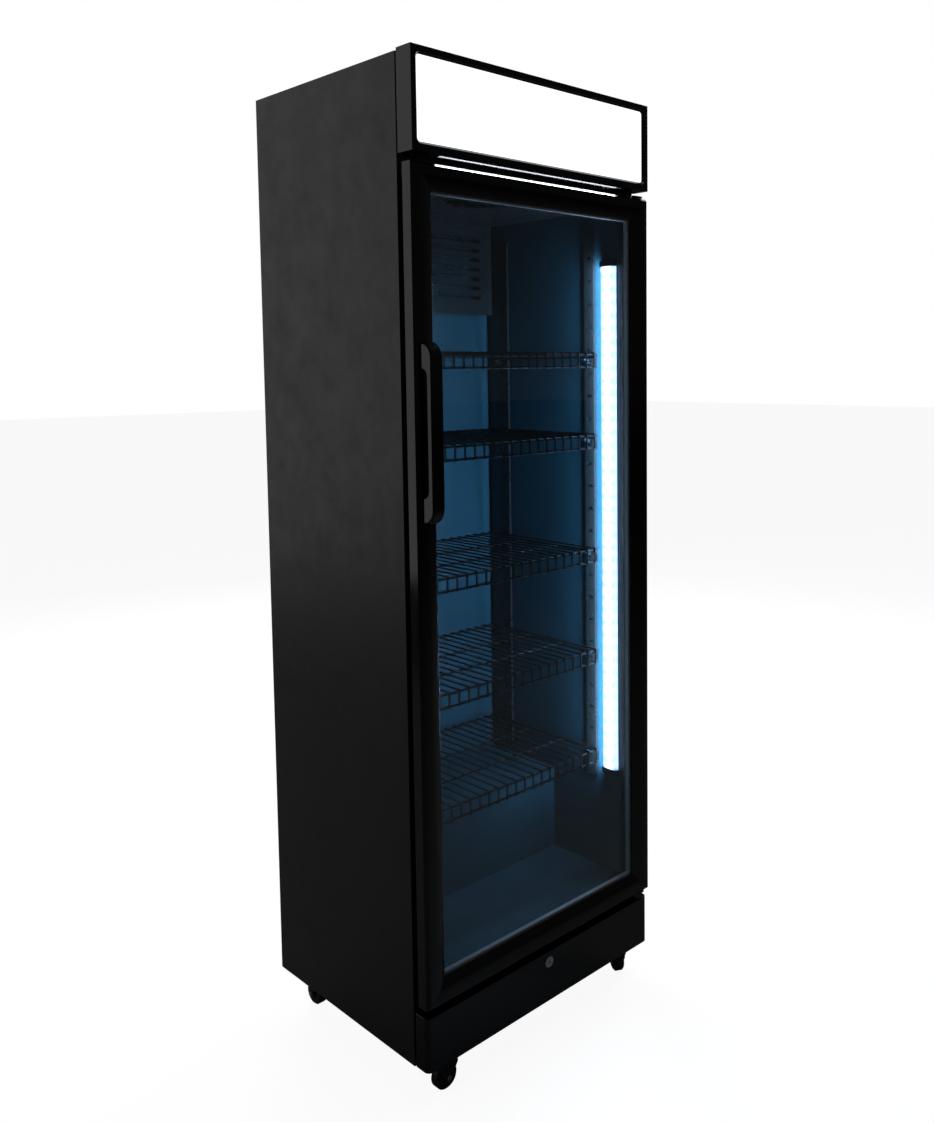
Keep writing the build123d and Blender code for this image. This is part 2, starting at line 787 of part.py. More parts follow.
with BuildPart() as handle_screws:
    for z in screw_heights:
        with BuildSketch(frontal(door_back - screw_sink)):
            with Locations((handle_x, z)):
                Circle(screw_head_radius)
        extrude(amount=screw_head)
        with BuildSketch(frontal(door_back - screw_sink)):
            with Locations((handle_x, z)):
                Circle(screw_radius)
        extrude(amount=screw_length - lip_depth)
handle_screws.part.label = "handle_screws"
export_step(handle_screws.part, "parts/handle_screws.step")

with BuildPart() as hinge_bushes:
    for level, reach in ((door_bottom, bush_length), (door_top, -bush_length)):
        outward = -1 if reach > 0 else 1
        with BuildSketch(Plane.XY.offset(level)):
            with Locations((hinge_x, hinge_y)):
                Circle(bush_radius)
        extrude(amount=reach)
        with BuildSketch(Plane.XY.offset(level)):
            with Locations((hinge_x, hinge_y)):
                Circle(bush_radius + bush_flange_lap)
        extrude(amount=outward * bush_flange)
        with BuildSketch(Plane.XY.offset(level + outward * bush_flange)):
            with Locations((hinge_x, hinge_y)):
                Circle(pin_radius + pin_fit)
        extrude(amount=-outward * (bush_length + bush_flange), mode=Mode.SUBTRACT)
hinge_bushes.part.label = "hinge_bushes"
export_step(hinge_bushes.part, "parts/hinge_bushes.step")

# hinge brackets: an angle screwed to the cabinet face, with the pin riveted to it
bracket_sheet = 3.0
bracket_gap = 0.6
bracket_inner = 22.0  # plate beyond the pin, towards the middle of the door
bracket_outer = 12.0  # plate beyond the pin, outwards and forwards
bracket_left = hinge_x - bracket_inner
bracket_right = hinge_x + bracket_outer
bracket_front = hinge_y - bracket_outer
bracket_corner = 8.0
bracket_leg = 48.0
bracket_screw_rise = 29.0
bracket_screw_pitch = 19.0
pin_engagement = 20.0
bracket_screw = 2.2

for side, level, outward in (("upper", door_top, 1), ("lower", door_bottom, -1)):
    seat = level + outward * (bush_flange + bracket_gap)
    with BuildPart() as hinge_bracket:
        with BuildSketch(Plane.XY.offset(seat)):
            with Locations(((bracket_left + bracket_right) / 2, (bracket_front + front) / 2)):
                Rectangle(bracket_right - bracket_left, front - bracket_front)
        extrude(amount=outward * bracket_sheet)
        fillet(hinge_bracket.edges().filter_by(Axis.Z).group_by(Axis.Y)[0], bracket_corner)
        with BuildSketch(Plane.XY.offset(seat)):
            with Locations(((bracket_left + bracket_right) / 2, front - bracket_sheet / 2)):
                Rectangle(bracket_right - bracket_left, bracket_sheet)
        extrude(amount=outward * bracket_leg)
        with BuildSketch(frontal(front - bracket_sheet)):
            with Locations(((bracket_left + bracket_right) / 2, seat + outward * bracket_screw_rise)):
                with GridLocations(0, bracket_screw_pitch, 1, 2):
                    Circle(bracket_screw)
        extrude(amount=-bracket_sheet, mode=Mode.SUBTRACT)
        with BuildSketch(Plane.XY.offset(seat)):
            with Locations((hinge_x, hinge_y)):
                Circle(pin_radius)
        extrude(amount=-outward * (pin_engagement + bush_flange))
    hinge_bracket.part.label = f"{side}_hinge"
    export_step(hinge_bracket.part, f"parts/{side}_hinge.step")

# ================================================================ shelves
standard_width = 28.0
standard_depth = 6.0
standard_sheet = 1.5
standard_end_gap = 20.0
standard_headroom = 30.0
front_standard_setback = 92.0
rear_standard_setback = 60.0
standard_bottom = step_top + standard_end_gap
standard_top = opening_top - standard_headroom
front_standard_y = front + front_standard_setback
rear_standard_y = cavity_rear - rear_standard_setback
slot_pitch = 50.0
slot_width = 15.0
slot_height = 6.0
slot_count = int((standard_top - standard_bottom) / slot_pitch) - 1

shelf_levels = [509.0, 734.0, 959.0, 1209.0, 1384.0]
shelf_setback = 50.0
shelf_rear_gap = 30.0
shelf_front = front + shelf_setback
shelf_rear = cavity_rear - shelf_rear_gap
shelf_gap = 17.0  # each side, clear of the lamp cover
shelf_half = cavity_half - standard_depth - shelf_gap
rod = 5.0
wire = 3.0
lip_drop = 31.0
wire_pitch = 23.0
first_support = 110.0  # front edge to the first support rod
middle_support_offset = 40.0  # second support rod behind the middle


def rod_section():
    """Flat-sided rod, so that wires can be welded on flush."""
    RegularPolygon(rod / 2, 8, major_radius=False, rotation=22.5)


with BuildPart() as shelf_standards:
    for side in (-1, 1):
        for y in (front_standard_y, rear_standard_y):
            face_x = side * cavity_half
            with BuildSketch(Plane.XY.offset(standard_bottom)):
                with Locations((face_x - side * standard_depth / 2, y)):
                    Rectangle(standard_depth, standard_width)
                with Locations((face_x - side * (standard_depth - standard_sheet) / 2, y)):
                    Rectangle(
                        standard_depth - standard_sheet,
                        standard_width - 2 * standard_sheet,
                        mode=Mode.SUBTRACT,
                    )
            extrude(amount=standard_top - standard_bottom)
            with BuildSketch(Plane.YZ.offset(face_x - side * standard_depth)):
                with Locations((y, (standard_bottom + standard_top) / 2)):
                    with GridLocations(0, slot_pitch, 1, slot_count):
                        Rectangle(slot_width, slot_height)
            extrude(amount=side * standard_sheet, mode=Mode.SUBTRACT)
shelf_standards.part.label = "shelf_standards"
export_step(shelf_standards.part, "parts/shelf_standards.step")

wire_count = int((2 * shelf_half - 2 * rod) / wire_pitch)
deck_wire_pitch = (2 * shelf_half - 4 * rod) / (wire_count - 1)
support_rows = [
    shelf_front + first_support,
    (shelf_front + shelf_rear) / 2 + middle_support_offset,
    shelf_rear - rod / 2,
]

for number, level in enumerate(shelf_levels, start=1):
    rod_z = level - wire - rod / 2
    low_z = level - lip_drop
    with BuildPart() as wire_shelf:
        # support rods under the deck, left to right, and the two front rods
        with BuildSketch(from_left(-shelf_half)):
            for row in support_rows:
                with Locations((row, rod_z)):
                    rod_section()
            with Locations((shelf_front + wire + rod / 2, rod_z)):
                rod_section()
            with Locations((shelf_front + wire + rod / 2, low_z)):
                rod_section()
        extrude(amount=2 * shelf_half)
        # side rods, tied to the support rods from below
        with BuildSketch(frontal(shelf_front + wire)):
            for side in (-1, 1):
                with Locations((side * (shelf_half - rod / 2), rod_z - rod)):
                    rod_section()
        extrude(amount=-(shelf_rear - shelf_front - wire))
        # end posts that join the upper and lower front rods
        with BuildSketch(Plane.XY.offset(low_z)):
            for side in (-1, 1):
                with Locations((side * (shelf_half - rod / 2), shelf_front + wire + rod / 2)):
                    rod_section()
        extrude(amount=rod_z - low_z)
        # deck wires, bent down over the front rods
        for index in range(wire_count):
            x = -shelf_half + 2 * rod + index * deck_wire_pitch
            with BuildSketch(from_left(x - wire / 2)):
                with BuildLine():
                    Polyline(
                        (shelf_rear, level),
                        (shelf_front, level),
                        (shelf_front, low_z - rod / 2),
                        (shelf_front + wire, low_z - rod / 2),
                        (shelf_front + wire, level - wire),
                        (shelf_rear, level - wire),
                        close=True,
                    )
                make_face()
            extrude(amount=wire)
    wire_shelf.part.label = f"shelf_{number}"
    export_step(wire_shelf.part, f"parts/shelf_{number}.step")

clip_height = 5.0
clip_width = 12.0
clip_hook = 2.0
clip_top = -wire - 2 * rod

with BuildPart() as shelf_clips:
    for level in shelf_levels:
        for side in (-1, 1):
            for y in (front_standard_y, rear_standard_y):
                inner_x = side * (shelf_half - rod)
                outer_x = side * (cavity_half - standard_depth)
                clip_z = level + clip_top
                with BuildSketch(frontal(y - clip_width / 2)):
                    with BuildLine():
                        Polyline(
                            (inner_x, clip_z),
                            (outer_x, clip_z),
                            (outer_x, clip_z - 3 * clip_height),
                            (outer_x - side * clip_hook, clip_z - 3 * clip_height),
                            (inner_x, clip_z - clip_height / 2),
                            close=True,
                        )
                    make_face()
                extrude(amount=-clip_width)
shelf_clips.part.label = "shelf_clips"
export_step(shelf_clips.part, "parts/shelf_clips.step")

# ================================================================ interior lamp
lamp_setback = 15.0
lamp_front = front + lamp_setback
lamp_width = 40.0
lamp_depth = 12.0
lamp_bottom = 452.0
lamp_top = 1576.0
lamp_base = 2.0
lamp_shell = 1.2
lamp_middle = lamp_front + lamp_width / 2
lamp_x = cavity_half
board_width = 12.0
board_sheet = 1.6
lamp_lip = 1.5
led_pitch = 28.0
led_size = 5.0
board_end_gap = 1.0

with BuildPart() as lamp_channel:
    with BuildSketch(Plane.XY.offset(lamp_bottom)):
        with Locations((lamp_x - lamp_base / 2, lamp_middle)):
            Rectangle(lamp_base, lamp_width)
    extrude(amount=lamp_top - lamp_bottom)
    # two lips that hold the circuit board
    with BuildSketch(Plane.XY.offset(lamp_bottom + 2 * lamp_lip)):
        with Locations((lamp_x - lamp_base - lamp_lip / 2, lamp_middle)):
            with GridLocations(0, board_width + 2 * lamp_lip, 1, 2):
                Rectangle(lamp_lip, lamp_lip)
    extrude(amount=lamp_top - lamp_bottom - 4 * lamp_lip)
lamp_channel.part.label = "lamp_channel"
export_step(lamp_channel.part, "parts/lamp_channel.step")

lamp_corner = 7.0
cover_depth = lamp_depth - lamp_base

with BuildPart() as lamp_cover:
    with BuildSketch(Plane.XY.offset(lamp_bottom)) as cover_outline:
        with Locations((lamp_x - lamp_base - cover_depth / 2, lamp_middle)):
            Rectangle(cover_depth, lamp_width)
        fillet(cover_outline.vertices().group_by(Axis.X)[0], lamp_corner)
    extrude(amount=lamp_top - lamp_bottom)
    with BuildSketch(Plane.XY.offset(lamp_bottom + lamp_shell)) as cover_hollow:
        with Locations((lamp_x - lamp_base - (cover_depth - lamp_shell) / 2, lamp_middle)):
            Rectangle(cover_depth - lamp_shell, lamp_width - 2 * lamp_shell)
        fillet(cover_hollow.vertices().group_by(Axis.X)[0], lamp_corner - lamp_shell)
    extrude(amount=lamp_top - lamp_bottom - 2 * lamp_shell, mode=Mode.SUBTRACT)
lamp_cover.part.label = "lamp_cover"
export_step(lamp_cover.part, "parts/lamp_cover.step")

# circuit boards with their rows of LEDs: one in the lamp, two in the canopy
lamp_led_count = int((lamp_top - lamp_bottom - 2 * led_pitch) / led_pitch)
canopy_led_pitch = 40.0
canopy_led_count = int((overall_width - 4 * bezel_side) / canopy_led_pitch)
canopy_board_length = overall_width - 3 * bezel_side
canopy_board_y = canopy_back - canopy_sheet
canopy_row_edge = 51.0  # rows of LEDs from the bottom and the top of the canopy
canopy_rows = [canopy_bottom + canopy_row_edge, canopy_top - canopy_row_edge]

with BuildPart() as led_boards:
    with BuildSketch(Plane.YZ.offset(lamp_x - lamp_base)):
        with Locations((lamp_middle, (lamp_bottom + lamp_top) / 2)):
            Rectangle(board_width, lamp_top - lamp_bottom - 2 * (lamp_shell + board_end_gap))
    extrude(amount=-board_sheet)
    with BuildSketch(Plane.YZ.offset(lamp_x - lamp_base - board_sheet)):
        with Locations((lamp_middle, (lamp_bottom + lamp_top) / 2)):
            with GridLocations(0, led_pitch, 1, lamp_led_count):
                Rectangle(led_size, led_size)
    extrude(amount=-board_sheet)
    for row in canopy_rows:
        with BuildSketch(frontal(canopy_board_y)):
            with Locations((0, row)):
                Rectangle(canopy_board_length, board_width)
        extrude(amount=board_sheet)
        with BuildSketch(frontal(canopy_board_y - board_sheet)):
            with Locations((0, row)):
                with GridLocations(canopy_led_pitch, 0, canopy_led_count, 1):
                    Rectangle(led_size, led_size)
        extrude(amount=board_sheet)
led_boards.part.label = "led_boards"
export_step(led_boards.part, "parts/led_boards.step")

# ================================================================ evaporator at the top
cover_sheet = 1.5
cover_gap = 2.0
cover_lift = 12.0  # tray above the top of the opening
duct_gap = 26.0  # air path behind the duct
cover_side_gap = 12.0
duct_length = 210.0
evaporator_floor = opening_top + cover_lift
cover_front = lintel_rear + cover_gap
cover_rear = cavity_rear - duct_gap
cover_half = cavity_half - cover_side_gap
cover_lip = 30.0
duct_bottom = evaporator_floor - duct_length
louvre_height = 7.0
louvre_pitch = 22.0
louvre_rows = 7
louvre_end_gap = 37.0
louvre_length = cover_half - 2 * louvre_end_gap
louvre_hood = 4.0
hood_sheet = 1.5
upper_fan_radius = 62.0
upper_fan_setback = 105.0
upper_fan_y = cover_front + upper_fan_setback
fan_opening_fit = 3.0
guard_wire = 2.4
guard_rings = [18.0, 34.0, 50.0]
guard_z = evaporator_floor - guard_wire
motor_radius = 24.0
motor_height = 34.0
motor_gap = 6.0  # fan to motor, fan to tray
bridge_width = 18.0
bridge_post = 2.0
bridge_overhang = 12.0
guard_reach = upper_fan_radius + 7.0
guard_rim = upper_fan_radius + 5.0
fan_shaft = 2.5
fan_shaft_fit = 0.05
fan_hub_radius = 16.0
fan_hub_height = 14.0
blade_count = 5
blade_sheet = 1.6
blade_tilt = 28.0
upper_fan_z = evaporator_floor + cover_sheet + motor_gap
upper_motor_z = upper_fan_z + fan_hub_height + motor_gap

with BuildPart() as evaporator_cover:
    # tray under the coil
    with BuildSketch(Plane.XY.offset(evaporator_floor)):
        with Locations((0, (cover_front + cover_rear) / 2)):
            Rectangle(2 * cavity_half, cover_rear - cover_front)
        with Locations((0, upper_fan_y)):
            Circle(upper_fan_radius + fan_opening_fit, mode=Mode.SUBTRACT)
    extrude(amount=cover_sheet)
    # front lip folded up
    with BuildSketch(frontal(cover_front)):
        with Locations((0, evaporator_floor)):
            Rectangle(2 * cover_half, cover_lip, align=(Align.CENTER, Align.MIN))
    extrude(amount=-cover_sheet)
    # air duct folded down along the back wall, with louvres on both sides of the middle
    with BuildSketch(frontal(cover_rear - cover_sheet)):
        with Locations((0, duct_bottom)):
            Rectangle(
                2 * cover_half, evaporator_floor + cover_sheet - duct_bottom,
                align=(Align.CENTER, Align.MIN),
            )
        with Locations((0, (duct_bottom + evaporator_floor) / 2)):
            with GridLocations(cover_half, louvre_pitch, 2, louvre_rows):
                Rectangle(louvre_length, louvre_height, mode=Mode.SUBTRACT)
    extrude(amount=-cover_sheet)
    # hoods standing out over the louvre slots
    with BuildSketch(frontal(cover_rear - cover_sheet)):
        with Locations((0, (duct_bottom + evaporator_floor + louvre_height + hood_sheet) / 2)):
            with GridLocations(cover_half, louvre_pitch, 2, louvre_rows):
                Rectangle(louvre_length, hood_sheet)
    extrude(amount=louvre_hood)
    # wire guard under the fan opening
    with BuildSketch(Plane.XY.offset(guard_z)):
        with Locations((0, upper_fan_y)):
            for ring in guard_rings + [guard_rim]:
                Circle(ring + guard_wire / 2)
                Circle(ring - guard_wire / 2, mode=Mode.SUBTRACT)
            with PolarLocations(guard_reach / 2, 4):
                Rectangle(guard_reach, guard_wire)
    extrude(amount=guard_wire)
    # motor hung from a bridge over the fan
    with BuildSketch(Plane.XY.offset(upper_motor_z)):
        with Locations((0, upper_fan_y)):
            Circle(motor_radius)
    extrude(amount=motor_height)
    with BuildSketch(Plane.XY.offset(upper_motor_z + motor_height)):
        with Locations((0, upper_fan_y)):
            Rectangle(2 * (upper_fan_radius + bridge_overhang), bridge_width)
    extrude(amount=cover_sheet)
    with BuildSketch(Plane.XY.offset(evaporator_floor + cover_sheet)):
        with Locations((0, upper_fan_y)):
            with GridLocations(2 * (upper_fan_radius + bridge_overhang) - bridge_post, 0, 2, 1):
                Rectangle(bridge_post, bridge_width)
    extrude(amount=upper_motor_z + motor_height - evaporator_floor - cover_sheet)
    with BuildSketch(Plane.XY.offset(upper_fan_z)):
        with Locations((0, upper_fan_y)):
            Circle(fan_shaft)
    extrude(amount=upper_motor_z - upper_fan_z)
evaporator_cover.part.label = "evaporator_cover"
export_step(evaporator_cover.part, "parts/evaporator_cover.step")

evaporator_width = 400.0
evaporator_depth = 130.0
evaporator_height = 92.0
evaporator_rear_gap = 10.0
evaporator_y = cover_rear - evaporator_rear_gap - evaporator_depth / 2
evaporator_z = evaporator_floor + cover_sheet
coil_lift = 26.0
fin_pitch = 25.0
fin_sheet = 1.0
fin_core_inset = 3.0
coil_tube = 4.75
coil_bend = 12.0  # return bends beyond the end plates
return_bend = 32.0
fin_count = int(evaporator_width / fin_pitch)
with BuildPart() as evaporator_coil:
    # fins standing out of the packed core
    with BuildSketch(frontal(evaporator_y - evaporator_depth / 2)):
        with Locations((0, evaporator_z + coil_lift)):
            with GridLocations(fin_pitch, 0, fin_count, 1):
                Rectangle(fin_sheet, evaporator_height, align=(Align.CENTER, Align.MIN))
    extrude(amount=-evaporator_depth)
    with BuildSketch(frontal(evaporator_y - evaporator_depth / 2 + fin_core_inset)):
        with Locations((0, evaporator_z + coil_lift + fin_core_inset)):
            Rectangle(
                evaporator_width, evaporator_height - 2 * fin_core_inset,
                align=(Align.CENTER, Align.MIN),
            )
    extrude(amount=-(evaporator_depth - 2 * fin_core_inset))
    # end plates standing on the tray
    with BuildSketch(frontal(evaporator_y - evaporator_depth / 2)):
        with Locations((0, evaporator_z)):
            with GridLocations(evaporator_width, 0, 2, 1):
                Rectangle(2 * fin_sheet, evaporator_height + coil_lift, align=(Align.CENTER, Align.MIN))
    extrude(amount=-evaporator_depth)
    # tube ends and return bends beyond the end plates
    with BuildSketch(from_left(-evaporator_width / 2 - coil_bend)):
        with Locations((evaporator_y, evaporator_z + coil_lift + evaporator_height / 2)):
            with GridLocations(evaporator_depth / 2, evaporator_height / 2, 2, 2):
                Rectangle(return_bend, 2 * coil_tube)
    extrude(amount=evaporator_width + 2 * coil_bend)
evaporator_coil.part.label = "evaporator_coil"
export_step(evaporator_coil.part, "parts/evaporator_coil.step")


blade_root = fan_hub_radius - 2.0
blade_tip_gap = 4.0


def fan_blades(centre, inner, outer):
    """Tilted flat blades round a hub whose axis is the local Z axis of centre."""
    with Locations(centre):
        with PolarLocations(0, blade_count):
            with Locations(Location(((inner + outer) / 2, 0, 0), (blade_tilt, 0, 0))):
                Box(outer - inner, (inner + outer) / 2, blade_sheet)


with BuildPart() as evaporator_fan:
    fan_blades(
        Location((0, upper_fan_y, upper_fan_z + fan_hub_height / 2)),
        blade_root,
        upper_fan_radius - blade_tip_gap,
    )
    with BuildSketch(Plane.XY.offset(upper_fan_z)):
        with Locations((0, upper_fan_y)):
            Circle(fan_hub_radius)
    extrude(amount=fan_hub_height)
    with BuildSketch(Plane.XY.offset(upper_fan_z)):
        with Locations((0, upper_fan_y)):
            Circle(fan_shaft + fan_shaft_fit)
    extrude(amount=fan_hub_height, mode=Mode.SUBTRACT)
evaporator_fan.part.label = "evaporator_fan"
export_step(evaporator_fan.part, "parts/evaporator_fan.step")

# ================================================================ refrigeration unit in the bay
tray_top = floor_clearance + tray_sheet
compressor_inset = 155.0  # middle of the compressor to the left-hand side
compressor_x = -half_width + compressor_inset
compressor_y = bay_front + bay_depth / 2
compressor_radius = 70.0
shell_shoulder = 22.0
weld_lip = 4.0
compressor_height = 150.0
weld_rise = 82.0
foot_height = 14.0
foot_sheet = 3.0
foot_edge = 12.0
terminal_rise = 45.0
terminal_offset = 8.0
terminal_box = (34.0, 46.0, 48.0)
grommet_radius = 9.0
foot_length = 190.0
foot_width = 120.0
compressor_base = tray_top + foot_height

with BuildPart() as compressor:
    # two drawn shells meeting at a welded flange
    with BuildSketch(Plane.XY.offset(compressor_base)):
        with Locations((compressor_x, compressor_y)):
            Circle(compressor_radius)
    extrude(amount=compressor_height)
    chamfer(compressor.edges(), shell_shoulder)
    with BuildSketch(Plane.XY.offset(compressor_base + weld_rise)):
        with Locations((compressor_x, compressor_y)):
            Circle(compressor_radius + weld_lip)
    extrude(amount=weld_lip)
    # mounting feet
    with BuildSketch(Plane.XY.offset(compressor_base)):
        with Locations((compressor_x, compressor_y)):
            Rectangle(foot_length, foot_width)
    extrude(amount=foot_sheet)
    # terminal box on the side
    with BuildSketch(Plane.XY.offset(compressor_base + terminal_rise)):
        with Locations((compressor_x + compressor_radius + terminal_offset, compressor_y)):
            Rectangle(terminal_box[0], terminal_box[1])
    extrude(amount=terminal_box[2])
    # rubber feet on the tray
    with BuildSketch(Plane.XY.offset(tray_top)):
        with Locations((compressor_x, compressor_y)):
            with GridLocations(foot_length - 2 * foot_edge, foot_width - 2 * foot_edge, 2, 2):
                Circle(grommet_radius)
    extrude(amount=foot_height)
compressor.part.label = "compressor"
export_step(compressor.part, "parts/compressor.step")

condenser_inset = 164.3  # middle of the condenser to the right-hand side
condenser_x = half_width - condenser_inset
condenser_width = 250.0
condenser_height = 230.0
condenser_depth = 44.0
condenser_gap = 14.0
condenser_y = bay_front + condenser_gap + condenser_depth / 2
condenser_base = tray_top
condenser_bend_depth = 31.0
condenser_bend_pitch = 38.0
condenser_bends = 5
condenser_fins = int(condenser_width / fin_pitch)

with BuildPart() as condenser_coil:
    with BuildSketch(frontal(condenser_y - condenser_depth / 2)):
        with Locations((condenser_x, condenser_base)):
            with GridLocations(fin_pitch, 0, condenser_fins, 1):
                Rectangle(fin_sheet, condenser_height, align=(Align.CENTER, Align.MIN))
    extrude(amount=-condenser_depth)
    with BuildSketch(frontal(condenser_y - condenser_depth / 2 + fin_core_inset)):
        with Locations((condenser_x, condenser_base)):
            Rectangle(condenser_width, condenser_height, align=(Align.CENTER, Align.MIN))
    extrude(amount=-(condenser_depth - 2 * fin_core_inset))
    with BuildSketch(from_left(condenser_x - condenser_width / 2 - coil_bend)):
        with Locations((condenser_y, condenser_base + condenser_height / 2)):
            with GridLocations(0, condenser_bend_pitch, 1, condenser_bends):
                Rectangle(condenser_bend_depth, 2 * coil_tube)
    extrude(amount=condenser_width + 2 * coil_bend)
condenser_coil.part.label = "condenser_coil"
export_step(condenser_coil.part, "parts/condenser_coil.step")

lower_fan_radius = 92.0
shroud_sheet = 1.5
shroud_gap = 1.0
shroud_lap = 10.0
shroud_y = condenser_y + condenser_depth / 2 + shroud_gap
shroud_depth = 24.0
lower_fan_z = condenser_base + condenser_height / 2
lower_fan_setback = 9.0
lower_fan_y = shroud_y + lower_fan_setback
lower_motor_gap = 8.0
shroud_bore = lower_fan_radius + fan_opening_fit
strut_width = 16.0
strut_sheet = 2.0
strut_post = 3.0
strut_reach = lower_fan_radius + 15.0
motor_seat = 1.0

with BuildPart() as condenser_fan_shroud:
    with BuildSketch(frontal(shroud_y)):
        with Locations((condenser_x, lower_fan_z)):
            Rectangle(condenser_width + 2 * shroud_lap, condenser_height)
            Circle(shroud_bore, mode=Mode.SUBTRACT)
    extrude(amount=-shroud_sheet)
    with BuildSketch(frontal(shroud_y)):
        with Locations((condenser_x, lower_fan_z)):
            Circle(shroud_bore + shroud_sheet)
            Circle(shroud_bore, mode=Mode.SUBTRACT)
    extrude(amount=-shroud_depth)
    # motor on a strut behind the fan, with its shaft
    motor_y = lower_fan_y + fan_hub_height + lower_motor_gap
    with BuildSketch(frontal(motor_y)):
        with Locations((condenser_x, lower_fan_z)):
            Circle(motor_radius)
    extrude(amount=-motor_height)
    with BuildSketch(frontal(motor_y)):
        with Locations((condenser_x, lower_fan_z)):
            Rectangle(2 * strut_reach, strut_width)
            Circle(motor_radius - motor_seat, mode=Mode.SUBTRACT)
    extrude(amount=-strut_sheet)
    with BuildSketch(frontal(shroud_y)):
        with Locations((condenser_x, lower_fan_z)):
            with GridLocations(2 * strut_reach - strut_post, 0, 2, 1):
                Rectangle(strut_post, strut_width)
    extrude(amount=-(motor_y - shroud_y))
    with BuildSketch(frontal(lower_fan_y)):
        with Locations((condenser_x, lower_fan_z)):
            Circle(fan_shaft)
    extrude(amount=-(motor_y - lower_fan_y + motor_seat))
condenser_fan_shroud.part.label = "condenser_fan_shroud"
export_step(condenser_fan_shroud.part, "parts/condenser_fan_shroud.step")

with BuildPart() as condenser_fan:
    fan_blades(
        Location((condenser_x, lower_fan_y + fan_hub_height / 2, lower_fan_z), (90, 0, 0)),
        blade_root,
        lower_fan_radius - blade_tip_gap / 2,
    )
    with BuildSketch(frontal(lower_fan_y)):
        with Locations((condenser_x, lower_fan_z)):
            Circle(fan_hub_radius)
    extrude(amount=-fan_hub_height)
    with BuildSketch(frontal(lower_fan_y)):
        with Locations((condenser_x, lower_fan_z)):
            Circle(fan_shaft + fan_shaft_fit)
    extrude(amount=-fan_hub_height, mode=Mode.SUBTRACT)
condenser_fan.part.label = "condenser_fan"
export_step(condenser_fan.part, "parts/condenser_fan.step")

# copper lines between the compressor, the condenser and the bay roof
line_radius = 4.0
line_bend = 24.0
suction_bend = 19.0
discharge_drop = 60.0  # highest run below the bay roof
suction_drop = 40.0
suction_offset = 40.0
suction_run = 50.0
suction_x = compressor_x - suction_offset
suction_y = compressor_y + suction_offset / 2
condenser_inlet_z = condenser_base + condenser_height - 34.5
line_drop_x = condenser_x - condenser_width / 2 - coil_bend - line_radius

with BuildPart() as refrigerant_lines:
    with BuildLine() as discharge_path:
        FilletPolyline(
            (compressor_x, compressor_y, compressor_base + compressor_height),
            (compressor_x, compressor_y, bay_top - discharge_drop),
            (line_drop_x, compressor_y, bay_top - discharge_drop),
            (line_drop_x, condenser_y, bay_top - discharge_drop),
            (line_drop_x, condenser_y, condenser_inlet_z),
            radius=line_bend,
        )
    with BuildSketch(discharge_path.line ^ 0):
        RegularPolygon(line_radius, 6)
    sweep()
    with BuildLine() as suction_path:
        FilletPolyline(
            (suction_x, suction_y, compressor_base + compressor_height),
            (suction_x, suction_y, bay_top - suction_drop),
            (suction_x - suction_run, suction_y, bay_top - suction_drop),
            (suction_x - suction_run, suction_y, bay_top),
            radius=suction_bend,
        )
    with BuildSketch(suction_path.line ^ 0):
        RegularPolygon(line_radius, 6)
    sweep()
refrigerant_lines.part.label = "refrigerant_lines"
export_step(refrigerant_lines.part, "parts/refrigerant_lines.step")

grille_fit = 1.0
grille_half = half_width - skin - grille_fit
grille_rise = 4.0
grille_bottom = floor_clearance + grille_rise
grille_top = bay_top
grille_columns = 3
grille_column_gap = 37.0
grille_slot_rows = 16
grille_slot_pitch = 14.0
grille_slot = 6.0
gland_inset = 60.0
gland_rise = 22.0
gland_x = -half_width + gland_inset
gland_z = floor_clearance + tray_flange + gland_rise
gland_radius = 8.0
gland_bore = 3.6
gland_lap = 4.0
gland_nut = 7.5
gland_inside = 8.0  # length inside the grille
grille_slot_length = (2 * grille_half - (grille_columns + 1) * grille_column_gap) / grille_columns

with BuildPart() as rear_grille:
    with BuildSketch(frontal(back - panel_inset)):
        with Locations((0, (grille_bottom + grille_top) / 2)):
            Rectangle(2 * grille_half, grille_top - grille_bottom)
            column_pitch = grille_slot_length + grille_column_gap
            with GridLocations(column_pitch, grille_slot_pitch, grille_columns, grille_slot_rows):
                Rectangle(grille_slot_length, grille_slot, mode=Mode.SUBTRACT)
        with Locations((gland_x, gland_z)):
            Circle(gland_radius, mode=Mode.SUBTRACT)
    extrude(amount=-skin)
rear_grille.part.label = "rear_grille"
export_step(rear_grille.part, "parts/rear_grille.step")

with BuildPart() as cable_gland:
    with BuildSketch(frontal(rear_panel_y - gland_inside)):
        with Locations((gland_x, gland_z)):
            Circle(gland_radius)
    extrude(amount=-(gland_inside + gland_lap - lens_sheet))
    # nut against the inside of the grille
    with BuildSketch(frontal(rear_panel_y - gland_inside)):
        with Locations((gland_x, gland_z)):
            Circle(gland_radius + gland_lap)
    extrude(amount=-gland_nut)
    with BuildSketch(frontal(rear_panel_y)):
        with Locations((gland_x, gland_z)):
            Circle(gland_bore)
    extrude(amount=2 * gland_inside, both=True, mode=Mode.SUBTRACT)
cable_gland.part.label = "cable_gland"
export_step(cable_gland.part, "parts/cable_gland.step")

